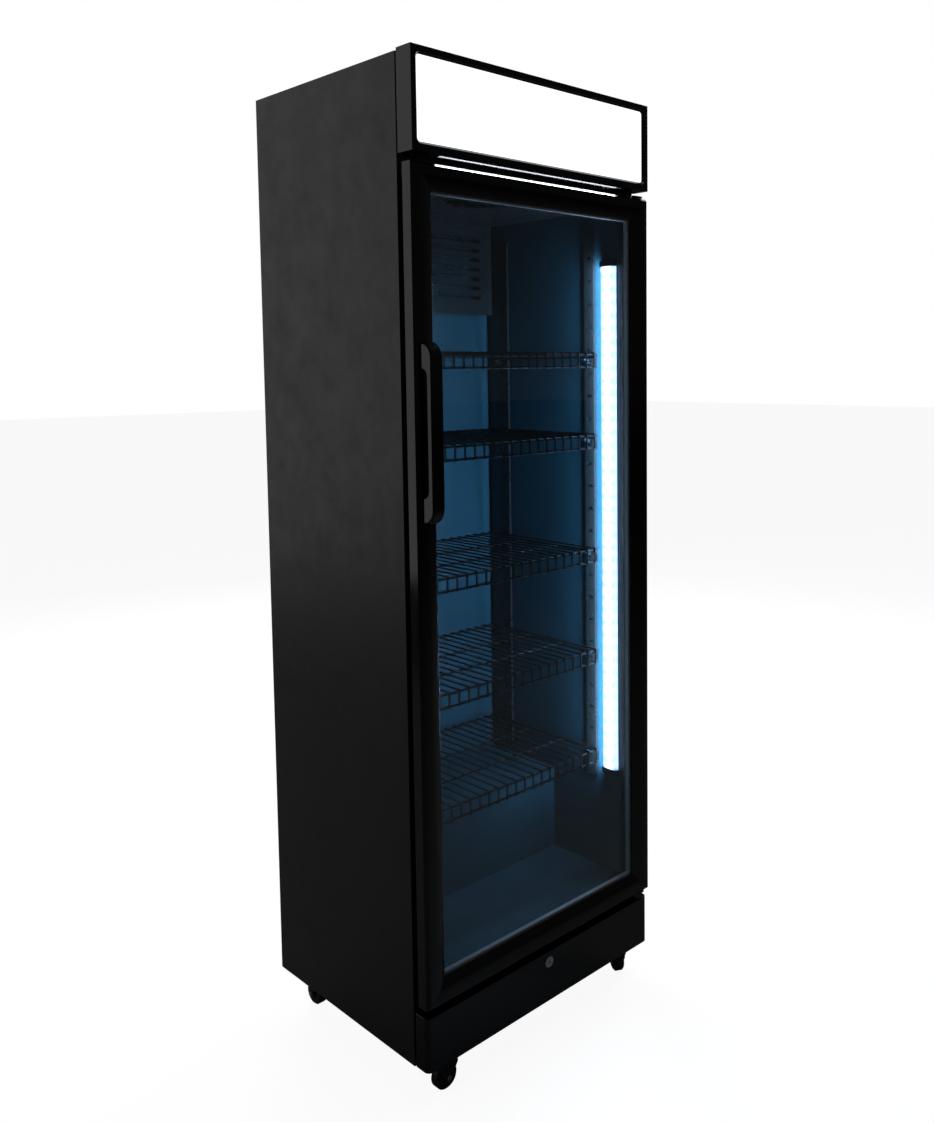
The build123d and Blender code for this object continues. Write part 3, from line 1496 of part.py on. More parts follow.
# ================================================================ castors
wheel_width = 20.0
tyre_bevel = 3.0
castor_inset = 48.0
front_castor_setback = 1.0
rear_castor_setback = 60.0
castor_x = half_width - castor_inset
front_castor_y = front + front_castor_setback
rear_castor_y = back - rear_castor_setback
castor_trail = 20.0
plate_side = 52.0
plate_sheet = 3.0
plate_corner = 6.0
race_radius = 17.0
race_height = 6.0
crown_sheet = 3.0
leg_sheet = 2.5
leg_gap = 2.0  # wheel side to fork leg
leg_width = 18.0
axle_radius = 3.0
axle_head = 1.5
turning_fit = 0.08
swivel_gap = 0.3
kingpin_radius = 4.0
kingpin_end = 4.0
plate_bottom = floor_clearance - plate_sheet
race_bottom = plate_bottom - race_height
crown_top = race_bottom - swivel_gap
leg_offset = wheel_width / 2 + leg_gap + leg_sheet / 2
left_swivel = 0.0
right_swivel = 62.0
crown_overhang = 2.0
throat_drop = 14.4  # front of each leg below the crown
pedal_pin = 2.0
pin_clearance = 1.0  # pedal pin above the top of the tyre
pedal_ahead = wheel_radius - 3 * pedal_pin  # pedal pin beyond the axle
pedal_pin_z = 2 * wheel_radius + pin_clearance
pedal_fit = 0.5
pedal_width = wheel_width + 2 * pedal_fit

with BuildPart() as castor_mounts:
    # front plates with their ball races and kingpins
    for side in (-1, 1):
        with BuildSketch(Plane.XY.offset(plate_bottom)):
            with Locations((side * castor_x, front_castor_y)):
                RectangleRounded(plate_side, plate_side, plate_corner)
        extrude(amount=plate_sheet)
        with BuildSketch(Plane.XY.offset(race_bottom)):
            with Locations((side * castor_x, front_castor_y)):
                Circle(race_radius)
        extrude(amount=race_height)
        with BuildSketch(Plane.XY.offset(crown_top - crown_sheet - kingpin_end)):
            with Locations((side * castor_x, front_castor_y)):
                Circle(kingpin_radius)
        extrude(amount=crown_sheet + kingpin_end + swivel_gap)
    # rear plates with fixed forks and axles
    for side in (-1, 1):
        with BuildSketch(Plane.XY.offset(plate_bottom)):
            with Locations((side * castor_x, rear_castor_y)):
                RectangleRounded(plate_side, plate_side, plate_corner)
        extrude(amount=plate_sheet)
        for leg in (-1, 1):
            leg_x = side * castor_x + leg * leg_offset
            with BuildSketch(from_left(leg_x - leg_sheet / 2)):
                with BuildLine():
                    Polyline(
                        (rear_castor_y - leg_width, plate_bottom),
                        (rear_castor_y - leg_width / 2, wheel_radius),
                        (rear_castor_y - leg_width / 4, wheel_radius - leg_width / 2),
                        (rear_castor_y + leg_width / 4, wheel_radius - leg_width / 2),
                        (rear_castor_y + leg_width / 2, wheel_radius),
                        (rear_castor_y + leg_width, plate_bottom),
                        close=True,
                    )
                make_face()
            extrude(amount=leg_sheet)
        with BuildSketch(from_left(side * castor_x - leg_offset - leg_sheet / 2 - axle_head)):
            with Locations((rear_castor_y, wheel_radius)):
                Circle(axle_radius)
        extrude(amount=2 * leg_offset + leg_sheet + 2 * axle_head)
castor_mounts.part.label = "castor_mounts"
export_step(castor_mounts.part, "parts/castor_mounts.step")

pin_x = castor_trail + pedal_ahead

# one swivel fork, trailing towards +X under a kingpin at the origin
with BuildPart() as swivel_fork:
    with BuildSketch(Plane.XY.offset(crown_top - crown_sheet)):
        Circle(race_radius)
        with Locations((race_radius / 2, 0)):
            Rectangle(race_radius, 2 * leg_offset + leg_sheet)
        Circle(kingpin_radius + turning_fit, mode=Mode.SUBTRACT)
    extrude(amount=crown_sheet)
    for leg in (-1, 1):
        with BuildSketch(frontal(leg * leg_offset - leg_sheet / 2)):
            with BuildLine():
                Polyline(
                    (-race_radius / 2, crown_top),
                    (-race_radius / 4, crown_top - throat_drop),
                    (castor_trail - leg_width / 2, wheel_radius),
                    (castor_trail - leg_width / 4, wheel_radius - leg_width / 2),
                    (castor_trail + leg_width / 4, wheel_radius - leg_width / 2),
                    (castor_trail + leg_width / 2, wheel_radius),
                    (pin_x + 2 * pedal_pin, pedal_pin_z - 2 * pedal_pin),
                    (pin_x + 2 * pedal_pin, pedal_pin_z + pedal_pin),
                    (pin_x, pedal_pin_z + 2 * pedal_pin),
                    (race_radius + crown_overhang, crown_top),
                    close=True,
                )
            make_face()
        extrude(amount=-leg_sheet)
    with BuildSketch(frontal(-leg_offset - leg_sheet / 2 - axle_head)):
        with Locations((castor_trail, wheel_radius)):
            Circle(axle_radius)
    extrude(amount=-(2 * leg_offset + leg_sheet + 2 * axle_head))
    with BuildSketch(frontal(-leg_offset)):
        with Locations((pin_x, pedal_pin_z)):
            Circle(pedal_pin)
    extrude(amount=-2 * leg_offset)

# one wheel, its axle along Y through the origin
with BuildPart() as castor_wheel:
    with BuildSketch(frontal(-wheel_width / 2)):
        Circle(wheel_radius)
    extrude(amount=-wheel_width)
    chamfer(castor_wheel.edges(), tyre_bevel)
    with BuildSketch(frontal(-wheel_width / 2)):
        Circle(axle_radius + turning_fit)
    extrude(amount=-wheel_width, mode=Mode.SUBTRACT)

# one brake pedal on its pin, in the same place as on the swivel fork
lobe_drop = 8.5  # brake lobe below the pedal's pin
lobe_z = pedal_pin_z - lobe_drop
with BuildPart() as pedal:
    with BuildSketch(frontal(-pedal_width / 2)):
        with BuildLine():
            Polyline(
                (pin_x - 4.0, pedal_pin_z - 2.0),
                (pin_x - 4.0, pedal_pin_z + 3.0),
                (pin_x - 2.0, pedal_pin_z + 5.0),
                (pin_x + 7.0, pedal_pin_z + 7.0),
                (pin_x + 30.0, pedal_pin_z + 11.0),
                (pin_x + 32.0, pedal_pin_z + 9.5),
                (pin_x + 31.0, pedal_pin_z + 7.5),
                (pin_x + 8.0, pedal_pin_z + 2.5),
                (pin_x + 5.5, pedal_pin_z - 1.0),
                (pin_x + 5.0, lobe_z + 0.5),
                (pin_x + 3.5, lobe_z),
                (pin_x + 1.8, lobe_z + 1.3),
                (pin_x - 1.0, lobe_z + 4.0),
                close=True,
            )
        make_face()
        with Locations((pin_x, pedal_pin_z)):
            Circle(pedal_pin + turning_fit, mode=Mode.SUBTRACT)
    extrude(amount=-pedal_width)

with BuildPart() as castor_fork_left:
    with Locations(Location((-castor_x, front_castor_y, 0), (0, 0, left_swivel))):
        add(swivel_fork.part)
castor_fork_left.part.label = "castor_fork_left"
export_step(castor_fork_left.part, "parts/castor_fork_left.step")

with BuildPart() as castor_fork_right:
    with Locations(Location((castor_x, front_castor_y, 0), (0, 0, right_swivel))):
        add(swivel_fork.part)
castor_fork_right.part.label = "castor_fork_right"
export_step(castor_fork_right.part, "parts/castor_fork_right.step")

with BuildPart() as brake_pedal_left:
    with Locations(Location((-castor_x, front_castor_y, 0), (0, 0, left_swivel))):
        add(pedal.part)
brake_pedal_left.part.label = "brake_pedal_left"
export_step(brake_pedal_left.part, "parts/brake_pedal_left.step")

with BuildPart() as brake_pedal_right:
    with Locations(Location((castor_x, front_castor_y, 0), (0, 0, right_swivel))):
        add(pedal.part)
brake_pedal_right.part.label = "brake_pedal_right"
export_step(brake_pedal_right.part, "parts/brake_pedal_right.step")

with BuildPart() as wheel_front_left:
    with Locations(Location((-castor_x, front_castor_y, wheel_radius), (0, 0, left_swivel))):
        with Locations((castor_trail, 0, 0)):
            add(castor_wheel.part)
wheel_front_left.part.label = "wheel_front_left"
export_step(wheel_front_left.part, "parts/wheel_front_left.step")

with BuildPart() as wheel_front_right:
    with Locations(Location((castor_x, front_castor_y, wheel_radius), (0, 0, right_swivel))):
        with Locations((castor_trail, 0, 0)):
            add(castor_wheel.part)
wheel_front_right.part.label = "wheel_front_right"
export_step(wheel_front_right.part, "parts/wheel_front_right.step")

with BuildPart() as wheel_rear_left:
    with Locations(Location((-castor_x, rear_castor_y, wheel_radius), (0, 0, 90.0))):
        add(castor_wheel.part)
wheel_rear_left.part.label = "wheel_rear_left"
export_step(wheel_rear_left.part, "parts/wheel_rear_left.step")

with BuildPart() as wheel_rear_right:
    with Locations(Location((castor_x, rear_castor_y, wheel_radius), (0, 0, 90.0))):
        add(castor_wheel.part)
wheel_rear_right.part.label = "wheel_rear_right"
export_step(wheel_rear_right.part, "parts/wheel_rear_right.step")
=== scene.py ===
# %% [markdown]
# # Glass door merchandiser
# An upright drinks cooler: a charcoal steel cabinet, a black framed glass door,
# a lit canopy above it, wire shelves inside and a lamp strip beside the door.
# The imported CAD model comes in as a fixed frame. It could be modelled again here, but then
# the two would drift apart, so its nodes keep their shapes and only get real finishes.
# Small parts that CAD leaves out, such as screws and LEDs, are modelled around them.

# %% Load the frame
import json
import math

import bpy
from mathutils import Matrix, Vector

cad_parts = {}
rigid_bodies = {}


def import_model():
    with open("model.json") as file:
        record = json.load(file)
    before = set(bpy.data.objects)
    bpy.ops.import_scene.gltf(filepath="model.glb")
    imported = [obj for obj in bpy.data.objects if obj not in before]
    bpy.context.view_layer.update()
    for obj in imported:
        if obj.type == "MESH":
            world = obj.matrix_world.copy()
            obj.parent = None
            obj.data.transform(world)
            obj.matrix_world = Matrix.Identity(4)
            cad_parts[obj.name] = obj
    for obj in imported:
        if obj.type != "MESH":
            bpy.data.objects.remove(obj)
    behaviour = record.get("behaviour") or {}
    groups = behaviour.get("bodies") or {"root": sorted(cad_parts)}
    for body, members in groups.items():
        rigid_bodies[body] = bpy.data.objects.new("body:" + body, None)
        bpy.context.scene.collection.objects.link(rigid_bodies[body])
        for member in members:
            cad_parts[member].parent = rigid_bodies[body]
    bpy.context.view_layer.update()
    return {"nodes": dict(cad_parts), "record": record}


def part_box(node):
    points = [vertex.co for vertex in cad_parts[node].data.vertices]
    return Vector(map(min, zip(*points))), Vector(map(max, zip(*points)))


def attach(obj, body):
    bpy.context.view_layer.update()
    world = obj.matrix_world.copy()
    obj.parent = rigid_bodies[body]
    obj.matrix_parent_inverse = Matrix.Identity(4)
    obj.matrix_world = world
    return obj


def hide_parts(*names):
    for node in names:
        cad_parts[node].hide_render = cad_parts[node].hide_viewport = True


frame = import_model()

# %% [markdown]
# The camera stands to the left of the machine at about chest height, turned 45 degrees
# to the door. Its place could come from a Track To constraint, but a view with a slight
# roll needs all three turns, so they are multiplied as matrices. The camera comes first
# because every finish is judged from this place.

# %% Camera
camera_data = bpy.data.cameras.new("camera")
camera = bpy.data.objects.new("camera", camera_data)
bpy.context.scene.collection.objects.link(camera)
bpy.context.scene.camera = camera
turn = Matrix.Rotation(math.radians(-45.55), 4, "Z")
tilt = Matrix.Rotation(math.radians(85.54), 4, "X")
roll = Matrix.Rotation(math.radians(-0.49), 4, "Z")
camera.matrix_world = Matrix.Translation((-1.4065, -1.6551, 1.3525)) @ turn @ tilt @ roll
camera_data.lens = 33.21
camera_data.shift_x = -0.0826
camera_data.shift_y = -0.1007
print("camera", tuple(round(v, 3) for v in camera.location))

# %% [markdown]
# ## Finishes
# Nearly every surface of this machine is one flat colour to a first look, and what tells
# them apart is grain and gloss. Each finish could be built by hand in the shader editor.
# Small functions do it here, so that each one below reads as a short recipe. Colours are
# sRGB hex values, as a paint chart gives them, and one function makes them linear.

# %% Helpers for colours and nodes
def linear(code):
    """sRGB hex to linear RGBA."""
    parts = [int(code[i:i + 2], 16) / 255 for i in (1, 3, 5)]
    return [p / 12.92 if p <= 0.04045 else ((p + 0.055) / 1.055) ** 2.4 for p in parts] + [1.0]


def add(tree, kind, inputs=None, **settings):
    """A node with its settings. inputs maps a socket to a value or to another's output."""
    made = tree.nodes.new(kind)
    for key, value in settings.items():
        setattr(made, key, value)
    for key, value in (inputs or {}).items():
        if isinstance(value, bpy.types.NodeSocket):
            tree.links.new(value, made.inputs[key])
        else:
            made.inputs[key].default_value = value
    return made


def finish_named(name, colour, roughness, metallic=0.0, **sockets):
    """A material and its shader node."""
    material = bpy.data.materials.new(name)
    material.use_nodes = True
    tree = material.node_tree
    shader = tree.nodes["Principled BSDF"]
    shader.inputs["Base Color"].default_value = linear(colour)
    shader.inputs["Roughness"].default_value = roughness
    shader.inputs["Metallic"].default_value = metallic
    for key, value in sockets.items():
        shader.inputs[key.replace("_", " ")].default_value = value
    return material, tree, shader


# %% [markdown]
# A real surface has two scales. Its grain comes from how it was made and is a millimetre or
# so across. Its colour and gloss also drift slowly from handling and cleaning. The grain is
# a bump, because it catches light, and the drift is a mix of two near colours. The finest
# grains here are drawn somewhat coarser than life, so that they show from across a room.

# %% Grain, drift and dressing
MM = 0.001  # one millimetre in Blender's metres
PATCHES_PER_METRE = 7.0  # colour drifts over about 140 mm
SMEARS_PER_METRE = 18.0  # gloss drifts over about 55 mm


def grained(tree, shader, grain_mm, height_mm, colours=None, spread=0.0,
            stretch=(1, 1, 1), detail=3.0):
    """Bump of the given grain and height, and a slow drift of colour and roughness."""
    place = add(tree, "ShaderNodeTexCoord")
    turned = add(tree, "ShaderNodeMapping", {0: place.outputs["Object"], "Scale": stretch})
    fine = add(tree, "ShaderNodeTexNoise",
               {0: turned.outputs[0], "Scale": 1.0 / (grain_mm * MM), "Detail": detail})
    bump = add(tree, "ShaderNodeBump",
               {"Height": fine.outputs[0], "Distance": height_mm * MM, "Strength": 1.0})
    tree.links.new(bump.outputs[0], shader.inputs["Normal"])
    if colours:
        broad = add(tree, "ShaderNodeTexNoise",
                    {0: turned.outputs[0], "Scale": PATCHES_PER_METRE,
                     "Detail": 5.0, "Roughness": 0.6})
        mix = add(tree, "ShaderNodeMix",
                  {0: broad.outputs[0], 6: linear(colours[0]), 7: linear(colours[1])},
                  data_type="RGBA")
        tree.links.new(mix.outputs[2], shader.inputs["Base Color"])
    if spread:
        level = shader.inputs["Roughness"].default_value
        smear = add(tree, "ShaderNodeTexNoise",
                    {0: turned.outputs[0], "Scale": SMEARS_PER_METRE,
                     "Detail": 6.0, "Roughness": 0.65})
        span = add(tree, "ShaderNodeMapRange",
                   {0: smear.outputs[0], 1: 0.3, 2: 0.7, 3: level - spread, 4: level + spread})
        tree.links.new(span.outputs[0], shader.inputs["Roughness"])


def chain(tree, start, *steps):
    """A row of math nodes; each step is an operation and its second value."""
    value = start
    for operation, second in steps:
        value = add(tree, "ShaderNodeMath", {0: value, 1: second}, operation=operation).outputs[0]
    return value


def dress(material, *nodes):
    """Gives CAD nodes their finish."""
    for name in nodes:
        piece = frame["nodes"][name]
        piece.data.materials.clear()
        piece.data.materials.append(material)
    print(material.name, "on", ", ".join(nodes))


# %% [markdown]
# The cabinet is zinc-coated steel sheet with a baked powder coat. A plain grey of one
# roughness would look like paper. Powder flows out into a faint orange peel of about a
# millimetre, so the side is satin, never mirror-like, and light falls off it softly.

# %% Cabinet paint
powder_coat, tree, shader = finish_named("powder_coated_steel", "#1c1c1e", 0.4)
grained(tree, shader, 1.4, 0.02, ("#171719", "#222224"), 0.07)
dress(powder_coat, "outer_wrapper")

# %% [markdown]
# The door frame, the canopy trim and the kick panel are glossy black ABS. A separate clear
# coat could give the shine, but the plastic itself is the glossy layer, so a low roughness
# on one shader does. A wide, shallow bump makes its reflections slightly wavy, as moulded
# panels are. The parts behind them are the same plastic from a grained mould.

# %% Gloss and satin black mouldings
# polished mould: deep black with crisp, gently waving highlights
gloss_black, tree, shader = finish_named("gloss_black_abs", "#040405", 0.12, IOR=1.5)
grained(tree, shader, 9.0, 0.012, ("#030304", "#060607"), 0.04)
dress(gloss_black, "door_stile_handle", "door_stile_hinge", "door_rail_top",
      "door_rail_bottom", "canopy_housing", "canopy_bezel", "kick_panel", "door_handle")

# etched mould: a shade greyer than the frame, with highlights that spread out
satin_black, tree, shader = finish_named("satin_black_abs", "#0e0e0f", 0.42)
grained(tree, shader, 0.9, 0.02, ("#0b0b0c", "#131314"), 0.06)
dress(satin_black, "face_frame", "light_switch_body", "light_switch_rocker",
      "evaporator_fan", "condenser_fan", "brake_pedal_left", "brake_pedal_right")

# %% [markdown]
# The liner is high-impact polystyrene sheet, drawn over a mould, with foam poured between it
# and the steel. The blue inside could all come from the lamp, but black plastic would stay
# black under it, so the sheet itself is a very dark blue grey that the cold light lifts.

# %% Liner and foam
# vacuum formed: satin, with the soft pebble of sheet that was stretched while warm
liner_plastic, tree, shader = finish_named("moulded_polystyrene", "#0f1f28", 0.36)
grained(tree, shader, 2.2, 0.03, ("#0c1a22", "#12242e"), 0.06)
dress(liner_plastic, "inner_liner")

# blown foam: pale tan and matt, its cells are a coarse, deep bump
foam, tree, shader = finish_named("polyurethane_foam", "#c9b37a", 0.9)
grained(tree, shader, 1.5, 0.4, ("#bda56a", "#d3c08c"))
dress(foam, "insulation")

# %% [markdown]
# The glazing is two panes of float glass with an aluminium spacer between them, seen as
# a bright strip round the opening. Glass could be a transmitting shader, but then a ray
# bends at one face of a thin pane and can leave a bright streak at the other. A pane in
# life only mirrors a little and lets the rest pass straight, so it is a mirror whose
# alpha follows the angle.

# %% Glazing
# floated on tin, so dead flat: nearly clear seen square on, and a mirror seen edge on
CLEAR_VIEW, EDGE_VIEW = 0.03, 0.96  # share mirrored square on, and what grazing adds
float_glass, tree, shader = finish_named("float_glass", "#eef8f8", 0.02, metallic=1.0)
edge_on = add(tree, "ShaderNodeLayerWeight", {"Blend": 0.5})
mirror_share = chain(tree, edge_on.outputs["Facing"],
                     ("POWER", 5.0), ("MULTIPLY", EDGE_VIEW), ("ADD", CLEAR_VIEW))
tree.links.new(mirror_share, shader.inputs["Alpha"])

# extruded, then anodised: pale and silky, its grain drawn out along the bar
anodised, tree, shader = finish_named("anodised_aluminium", "#dfe3e8", 0.4, metallic=0.6)
grained(tree, shader, 0.5, 0.01, ("#d3d8de", "#eceff2"), 0.08, stretch=(1, 1, 0.05))
dress(anodised, "glass_spacer", "lamp_channel")

# extruded soft vinyl: dull black that takes no highlight
soft_pvc, tree, shader = finish_named("soft_pvc", "#101011", 0.62)
grained(tree, shader, 0.8, 0.03, ("#0d0d0e", "#151516"), 0.05)
dress(soft_pvc, "door_gasket", "cable_gland")

# %% [markdown]
# The sign panel and the slot under it are opal acrylic with boards of LEDs behind, bright
# enough to read as plain white. LEDs could be modelled behind both, but opal plastic
# hides them, so the plastic itself gives the light. In the slot only the plate at the top
# of the tray is lit. The skirt round it has painted shade: it is coloured near black, not the
# sheet's own white, so that the line mirrored in the door's polished edge stands out more than
# the tray itself.

# %% Sign panel and slot
# cast opal sheet: an even glow over the whole panel, with a soft satin face
SIGN_GLOW, SLOT_GLOW = 1.4, 26.0
LIT_PLATE = 2.2 * MM  # thickness of the lit plate at the top of the slot's tray

opal, tree, shader = finish_named("opal_acrylic", "#f2f5fa", 0.35)
shader.inputs["Emission Color"].default_value = linear("#f4f8ff")
shader.inputs["Emission Strength"].default_value = SIGN_GLOW
grained(tree, shader, 1.2, 0.01)
dress(opal, "canopy_diffuser")

# the same sheet in a narrow tray: a hard white line above, and painted shade at its sides,
# coloured near black
slot_light, tree, shader = finish_named("opal_strip_lens", "#f2f5fa", 0.35)
shader.inputs["Emission Color"].default_value = linear("#eef4ff")
grained(tree, shader, 1.2, 0.01)
lens_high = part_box("canopy_slot_lens")[1]
place = add(tree, "ShaderNodeTexCoord")
axes = add(tree, "ShaderNodeSeparateXYZ", {0: place.outputs["Object"]})
plate = chain(tree, axes.outputs["Z"], ("GREATER_THAN", lens_high.z - LIT_PLATE))
strength = chain(tree, plate, ("MULTIPLY", SLOT_GLOW))
tree.links.new(strength, shader.inputs["Emission Strength"])
# painted shade: the skirt is coloured near black in place of the opal sheet's white
painted_shade_skirt = add(tree, "ShaderNodeMix",
            {0: plate, 6: linear("#08080a"), 7: linear("#f2f5fa")}, data_type="RGBA")
tree.links.new(painted_shade_skirt.outputs[2], shader.inputs["Base Color"])
dress(slot_light, "canopy_slot_lens")

# %% [markdown]
# The lamp strip beside the door is a row of LEDs under a frosted cover. The cover could
# glow evenly, but a real one shows the LEDs through it as pools of light. A bell curve
# across the strip and a cosine along it, sized by the spots and their pitch, give that.

# %% Lamp cover and boards
LED_PITCH = 28 * MM
SPOT_WIDTH = 10 * MM
SPOT_SWING, SPOT_LEVEL, EDGE_GLOW = 1.7, 2.4, 0.5
cover_low, cover_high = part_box("lamp_cover")
channel_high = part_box("lamp_channel")[1]
led_rows = int((cover_high.z - cover_low.z - 2 * LED_PITCH) / LED_PITCH)
middle_y = (cover_low.y + cover_high.y) / 2
middle_z = (cover_low.z + cover_high.z) / 2
first_led = middle_z - (led_rows - 1) * LED_PITCH / 2

# extruded and frosted: milky, brightest on its middle line and bluer at its edges
frosted_cover, tree, shader = finish_named(
    "frosted_polycarbonate", "#dceaff", 0.3, IOR=1.58, Transmission_Weight=1.0, Alpha=0.8)
shader.inputs["Emission Color"].default_value = linear("#a9d0ff")
grained(tree, shader, 1.5, 0.02)
place = add(tree, "ShaderNodeTexCoord")
axes = add(tree, "ShaderNodeSeparateXYZ", {0: place.outputs["Object"]})
across = chain(tree, axes.outputs["Y"], ("SUBTRACT", middle_y), ("DIVIDE", SPOT_WIDTH),
               ("POWER", 2.0), ("MULTIPLY", -1.0), ("EXPONENT", 0.0))
along = chain(tree, axes.outputs["Z"], ("SUBTRACT", first_led),
              ("MULTIPLY", 2 * math.pi / LED_PITCH), ("COSINE", 0.0),
              ("MULTIPLY", SPOT_SWING), ("ADD", SPOT_LEVEL))
pool = chain(tree, across, ("MULTIPLY", along), ("ADD", EDGE_GLOW))
tree.links.new(pool, shader.inputs["Emission Strength"])
dress(frosted_cover, "lamp_cover")

# white solder mask over glass fibre: a smooth, faintly blue white behind the LEDs
board, tree, shader = finish_named("white_circuit_board", "#cfdcec", 0.4)
grained(tree, shader, 3.0, 0.02, ("#c6d5e8", "#d8e3f0"))
dress(board, "led_boards")
print("lamp", led_rows, "LEDs at", round(LED_PITCH / MM), "mm")

# %% [markdown]
# Bare metal shows in few places. Plated and dipped metal could each have layers of their
# own, but a metal mirrors the room, and its look comes mostly from how rough it is. So
# chrome and zinc share one recipe and differ in roughness, grain and a shade of grey.

# %% Bright metals
# polished and plated: the lock's face is the one bright metal spot on the front
chrome, tree, shader = finish_named("chromium_plate", "#cfd1d4", 0.12, metallic=1.0)
grained(tree, shader, 0.6, 0.004, ("#c4c6ca", "#d9dbdd"), 0.04)
dress(chrome, "lock_body", "lock_plug")

# hot-dipped sheet: dull silver, mottled where the zinc froze
zinc_sheet, tree, shader = finish_named("galvanised_steel", "#9a9da0", 0.42, metallic=1.0)
grained(tree, shader, 6.0, 0.02, ("#8b8f93", "#acafb2"), 0.1, detail=6.0)
dress(zinc_sheet, "rear_panel", "belly_panel", "base_chassis")

# electroplated fasteners and clips: brighter and finer than the sheet
zinc_plate, tree, shader = finish_named("zinc_plated_steel", "#b4b7ba", 0.3, metallic=1.0)
grained(tree, shader, 0.8, 0.02, ("#a8acb0", "#c2c5c8"), 0.09)
dress(zinc_plate, "handle_screws", "shelf_clips")

# %% [markdown]
# Most of the working metal is coated black. It could share the cabinet's paint, but enamel
# and epoxy are smoother than powder, and their small, sharp highlights are what make thin
# wires and brackets readable in the dark.

# %% Coated metals
# stoved enamel: hard, smooth black with a small highlight on each edge
black_steel, tree, shader = finish_named("black_enamelled_steel", "#0d0d0e", 0.3)
grained(tree, shader, 1.2, 0.02, ("#0a0a0b", "#131315"), 0.08)
dress(black_steel, "upper_hinge", "lower_hinge", "compressor", "condenser_coil",
      "condenser_fan_shroud", "rear_grille", "evaporator_cover", "castor_mounts",
      "castor_fork_left", "castor_fork_right", "shelf_standards")

# dipped epoxy: blacker still, with a duller highlight than enamel has
epoxy_wire, tree, shader = finish_named("epoxy_coated_wire", "#07080a", 0.3)
shader.inputs["Specular IOR Level"].default_value = 0.3
grained(tree, shader, 1.1, 0.01, ("#050607", "#0b0c0e"), 0.05)
dress(epoxy_wire, "shelf_1", "shelf_2", "shelf_3", "shelf_4", "shelf_5")

# %% [markdown]
# Behind the grille and the louvred cover are the refrigerant lines and the fins of the
# evaporator. They could be black like the parts round them, as they hardly show, but they
# are seen when those covers are taken off, so each has its own metal.

# %% Copper and fins
# drawn tube: warm and half bright, darkened in patches by handling
copper, tree, shader = finish_named("drawn_copper", "#b0714c", 0.28, metallic=1.0)
grained(tree, shader, 1.0, 0.01, ("#9c5f3d", "#c0825c"), 0.1)
dress(copper, "refrigerant_lines")

# rolled foil: pale and soft, without a clear reflection
fins, tree, shader = finish_named("aluminium_fin_stock", "#b7babd", 0.35, metallic=1.0)
grained(tree, shader, 1.0, 0.02, ("#a9adb1", "#c5c8cb"), 0.1)
dress(fins, "evaporator_coil")

# %% [markdown]
# The castors roll on dark grey rubber, and nylon bushes carry the door's hinge pins. Both
# are plastics in the shader's eyes. Rubber is rough and nylon waxy, which is enough to
# tell them from the enamelled steel they touch.

# %% Rubber and nylon
# moulded rubber: matt, with a dusty grain
grey_rubber, tree, shader = finish_named("grey_rubber", "#1b1b1d", 0.62)
grained(tree, shader, 0.7, 0.05, ("#161618", "#232325"), 0.06)
dress(grey_rubber, "wheel_front_left", "wheel_front_right", "wheel_rear_left", "wheel_rear_right")

# moulded nylon: an off-white with a wide, waxy highlight
nylon, tree, shader = finish_named("white_nylon", "#dedcd4", 0.5)
grained(tree, shader, 1.0, 0.01, ("#d6d3ca", "#e5e3dc"))
dress(nylon, "hinge_bushes")

# %% [markdown]
# ## Pieces
# Every new piece of the machine is shaped from a primitive and then settled. Settling puts
# its place into the mesh, so that the object itself stays at the origin, and lets the
# piece ride on a body, so that it moves with its joint. What repeats could be an array,
# but the screws' places are uneven, so each copy gets its own mesh and place, and all of
# them are joined.

# %% Helpers for pieces
def start_piece():
    """Nothing selected, object mode."""
    if bpy.context.mode != "OBJECT":
        bpy.ops.object.mode_set(mode="OBJECT")
    bpy.ops.object.select_all(action="DESELECT")


def settle(piece, name, body, material):
    """Puts a finished piece's place into its mesh and lets it ride on a body."""
    start_piece()
    piece.select_set(True)
    bpy.context.view_layer.objects.active = piece
    bpy.ops.object.transform_apply(location=True, rotation=True, scale=True)
    bpy.ops.object.shade_smooth_by_angle(angle=math.radians(35))
    piece.name = name
    piece.data.materials.clear()
    piece.data.materials.append(material)
    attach(piece, body)
    print(name, len(piece.data.polygons), "faces")
    return piece


def copies(piece, places):
    """Copies of a piece, each with its own mesh, joined into one object."""
    made = [piece]
    for place in places[1:]:
        twin = piece.copy()
        twin.data = piece.data.copy()
        bpy.context.scene.collection.objects.link(twin)
        made.append(twin)
    for twin, place in zip(made, places):
        twin.matrix_world = place @ twin.matrix_world
    start_piece()
    for twin in made:
        twin.select_set(True)
    bpy.context.view_layer.objects.active = piece
    bpy.ops.object.join()
    return piece


# %% [markdown]
# ## Lamps
# Each LED is a little moulded dome on the board, an inch or so from the next. It could
# be painted on, but the domes glint from the side. A sphere flattened to six tenths has
# the shape, and few faces are enough for something of this size.

# %% LEDs of the interior lamp
LED_RADIUS, LED_FLATNESS, LED_GLOW = 3.4 * MM, 0.6, 30.0
LED_BACK_SET = 5.2 * MM  # behind the channel's right side

# cast silicone dome, lit: the brightest spots in the machine
led_light, tree, shader = finish_named("lit_led", "#ffffff", 0.3)
shader.inputs["Emission Color"].default_value = linear("#dcecff")
shader.inputs["Emission Strength"].default_value = LED_GLOW

led_x = channel_high.x - LED_BACK_SET

start_piece()
bpy.ops.mesh.primitive_uv_sphere_add(segments=12, ring_count=6, radius=LED_RADIUS,
                                     location=(0, 0, 0))
dome = bpy.context.object
dome.scale = (LED_FLATNESS, 1, 1)
bpy.ops.object.transform_apply(scale=True)
leds = copies(dome, [Matrix.Translation((led_x, middle_y, first_led + i * LED_PITCH))
                     for i in range(led_rows)])
settle(leds, "lamp_leds", "cabinet", led_light)

# %% [markdown]
# ## Fasteners
# A pan-head screw is a low dome with a driver recess pressed into it. It could be a curve
# spun round an axis. A cylinder whose top is inset, lifted and pressed in gives the same
# shape with fewer faces, so that it can be repeated on every sheet.

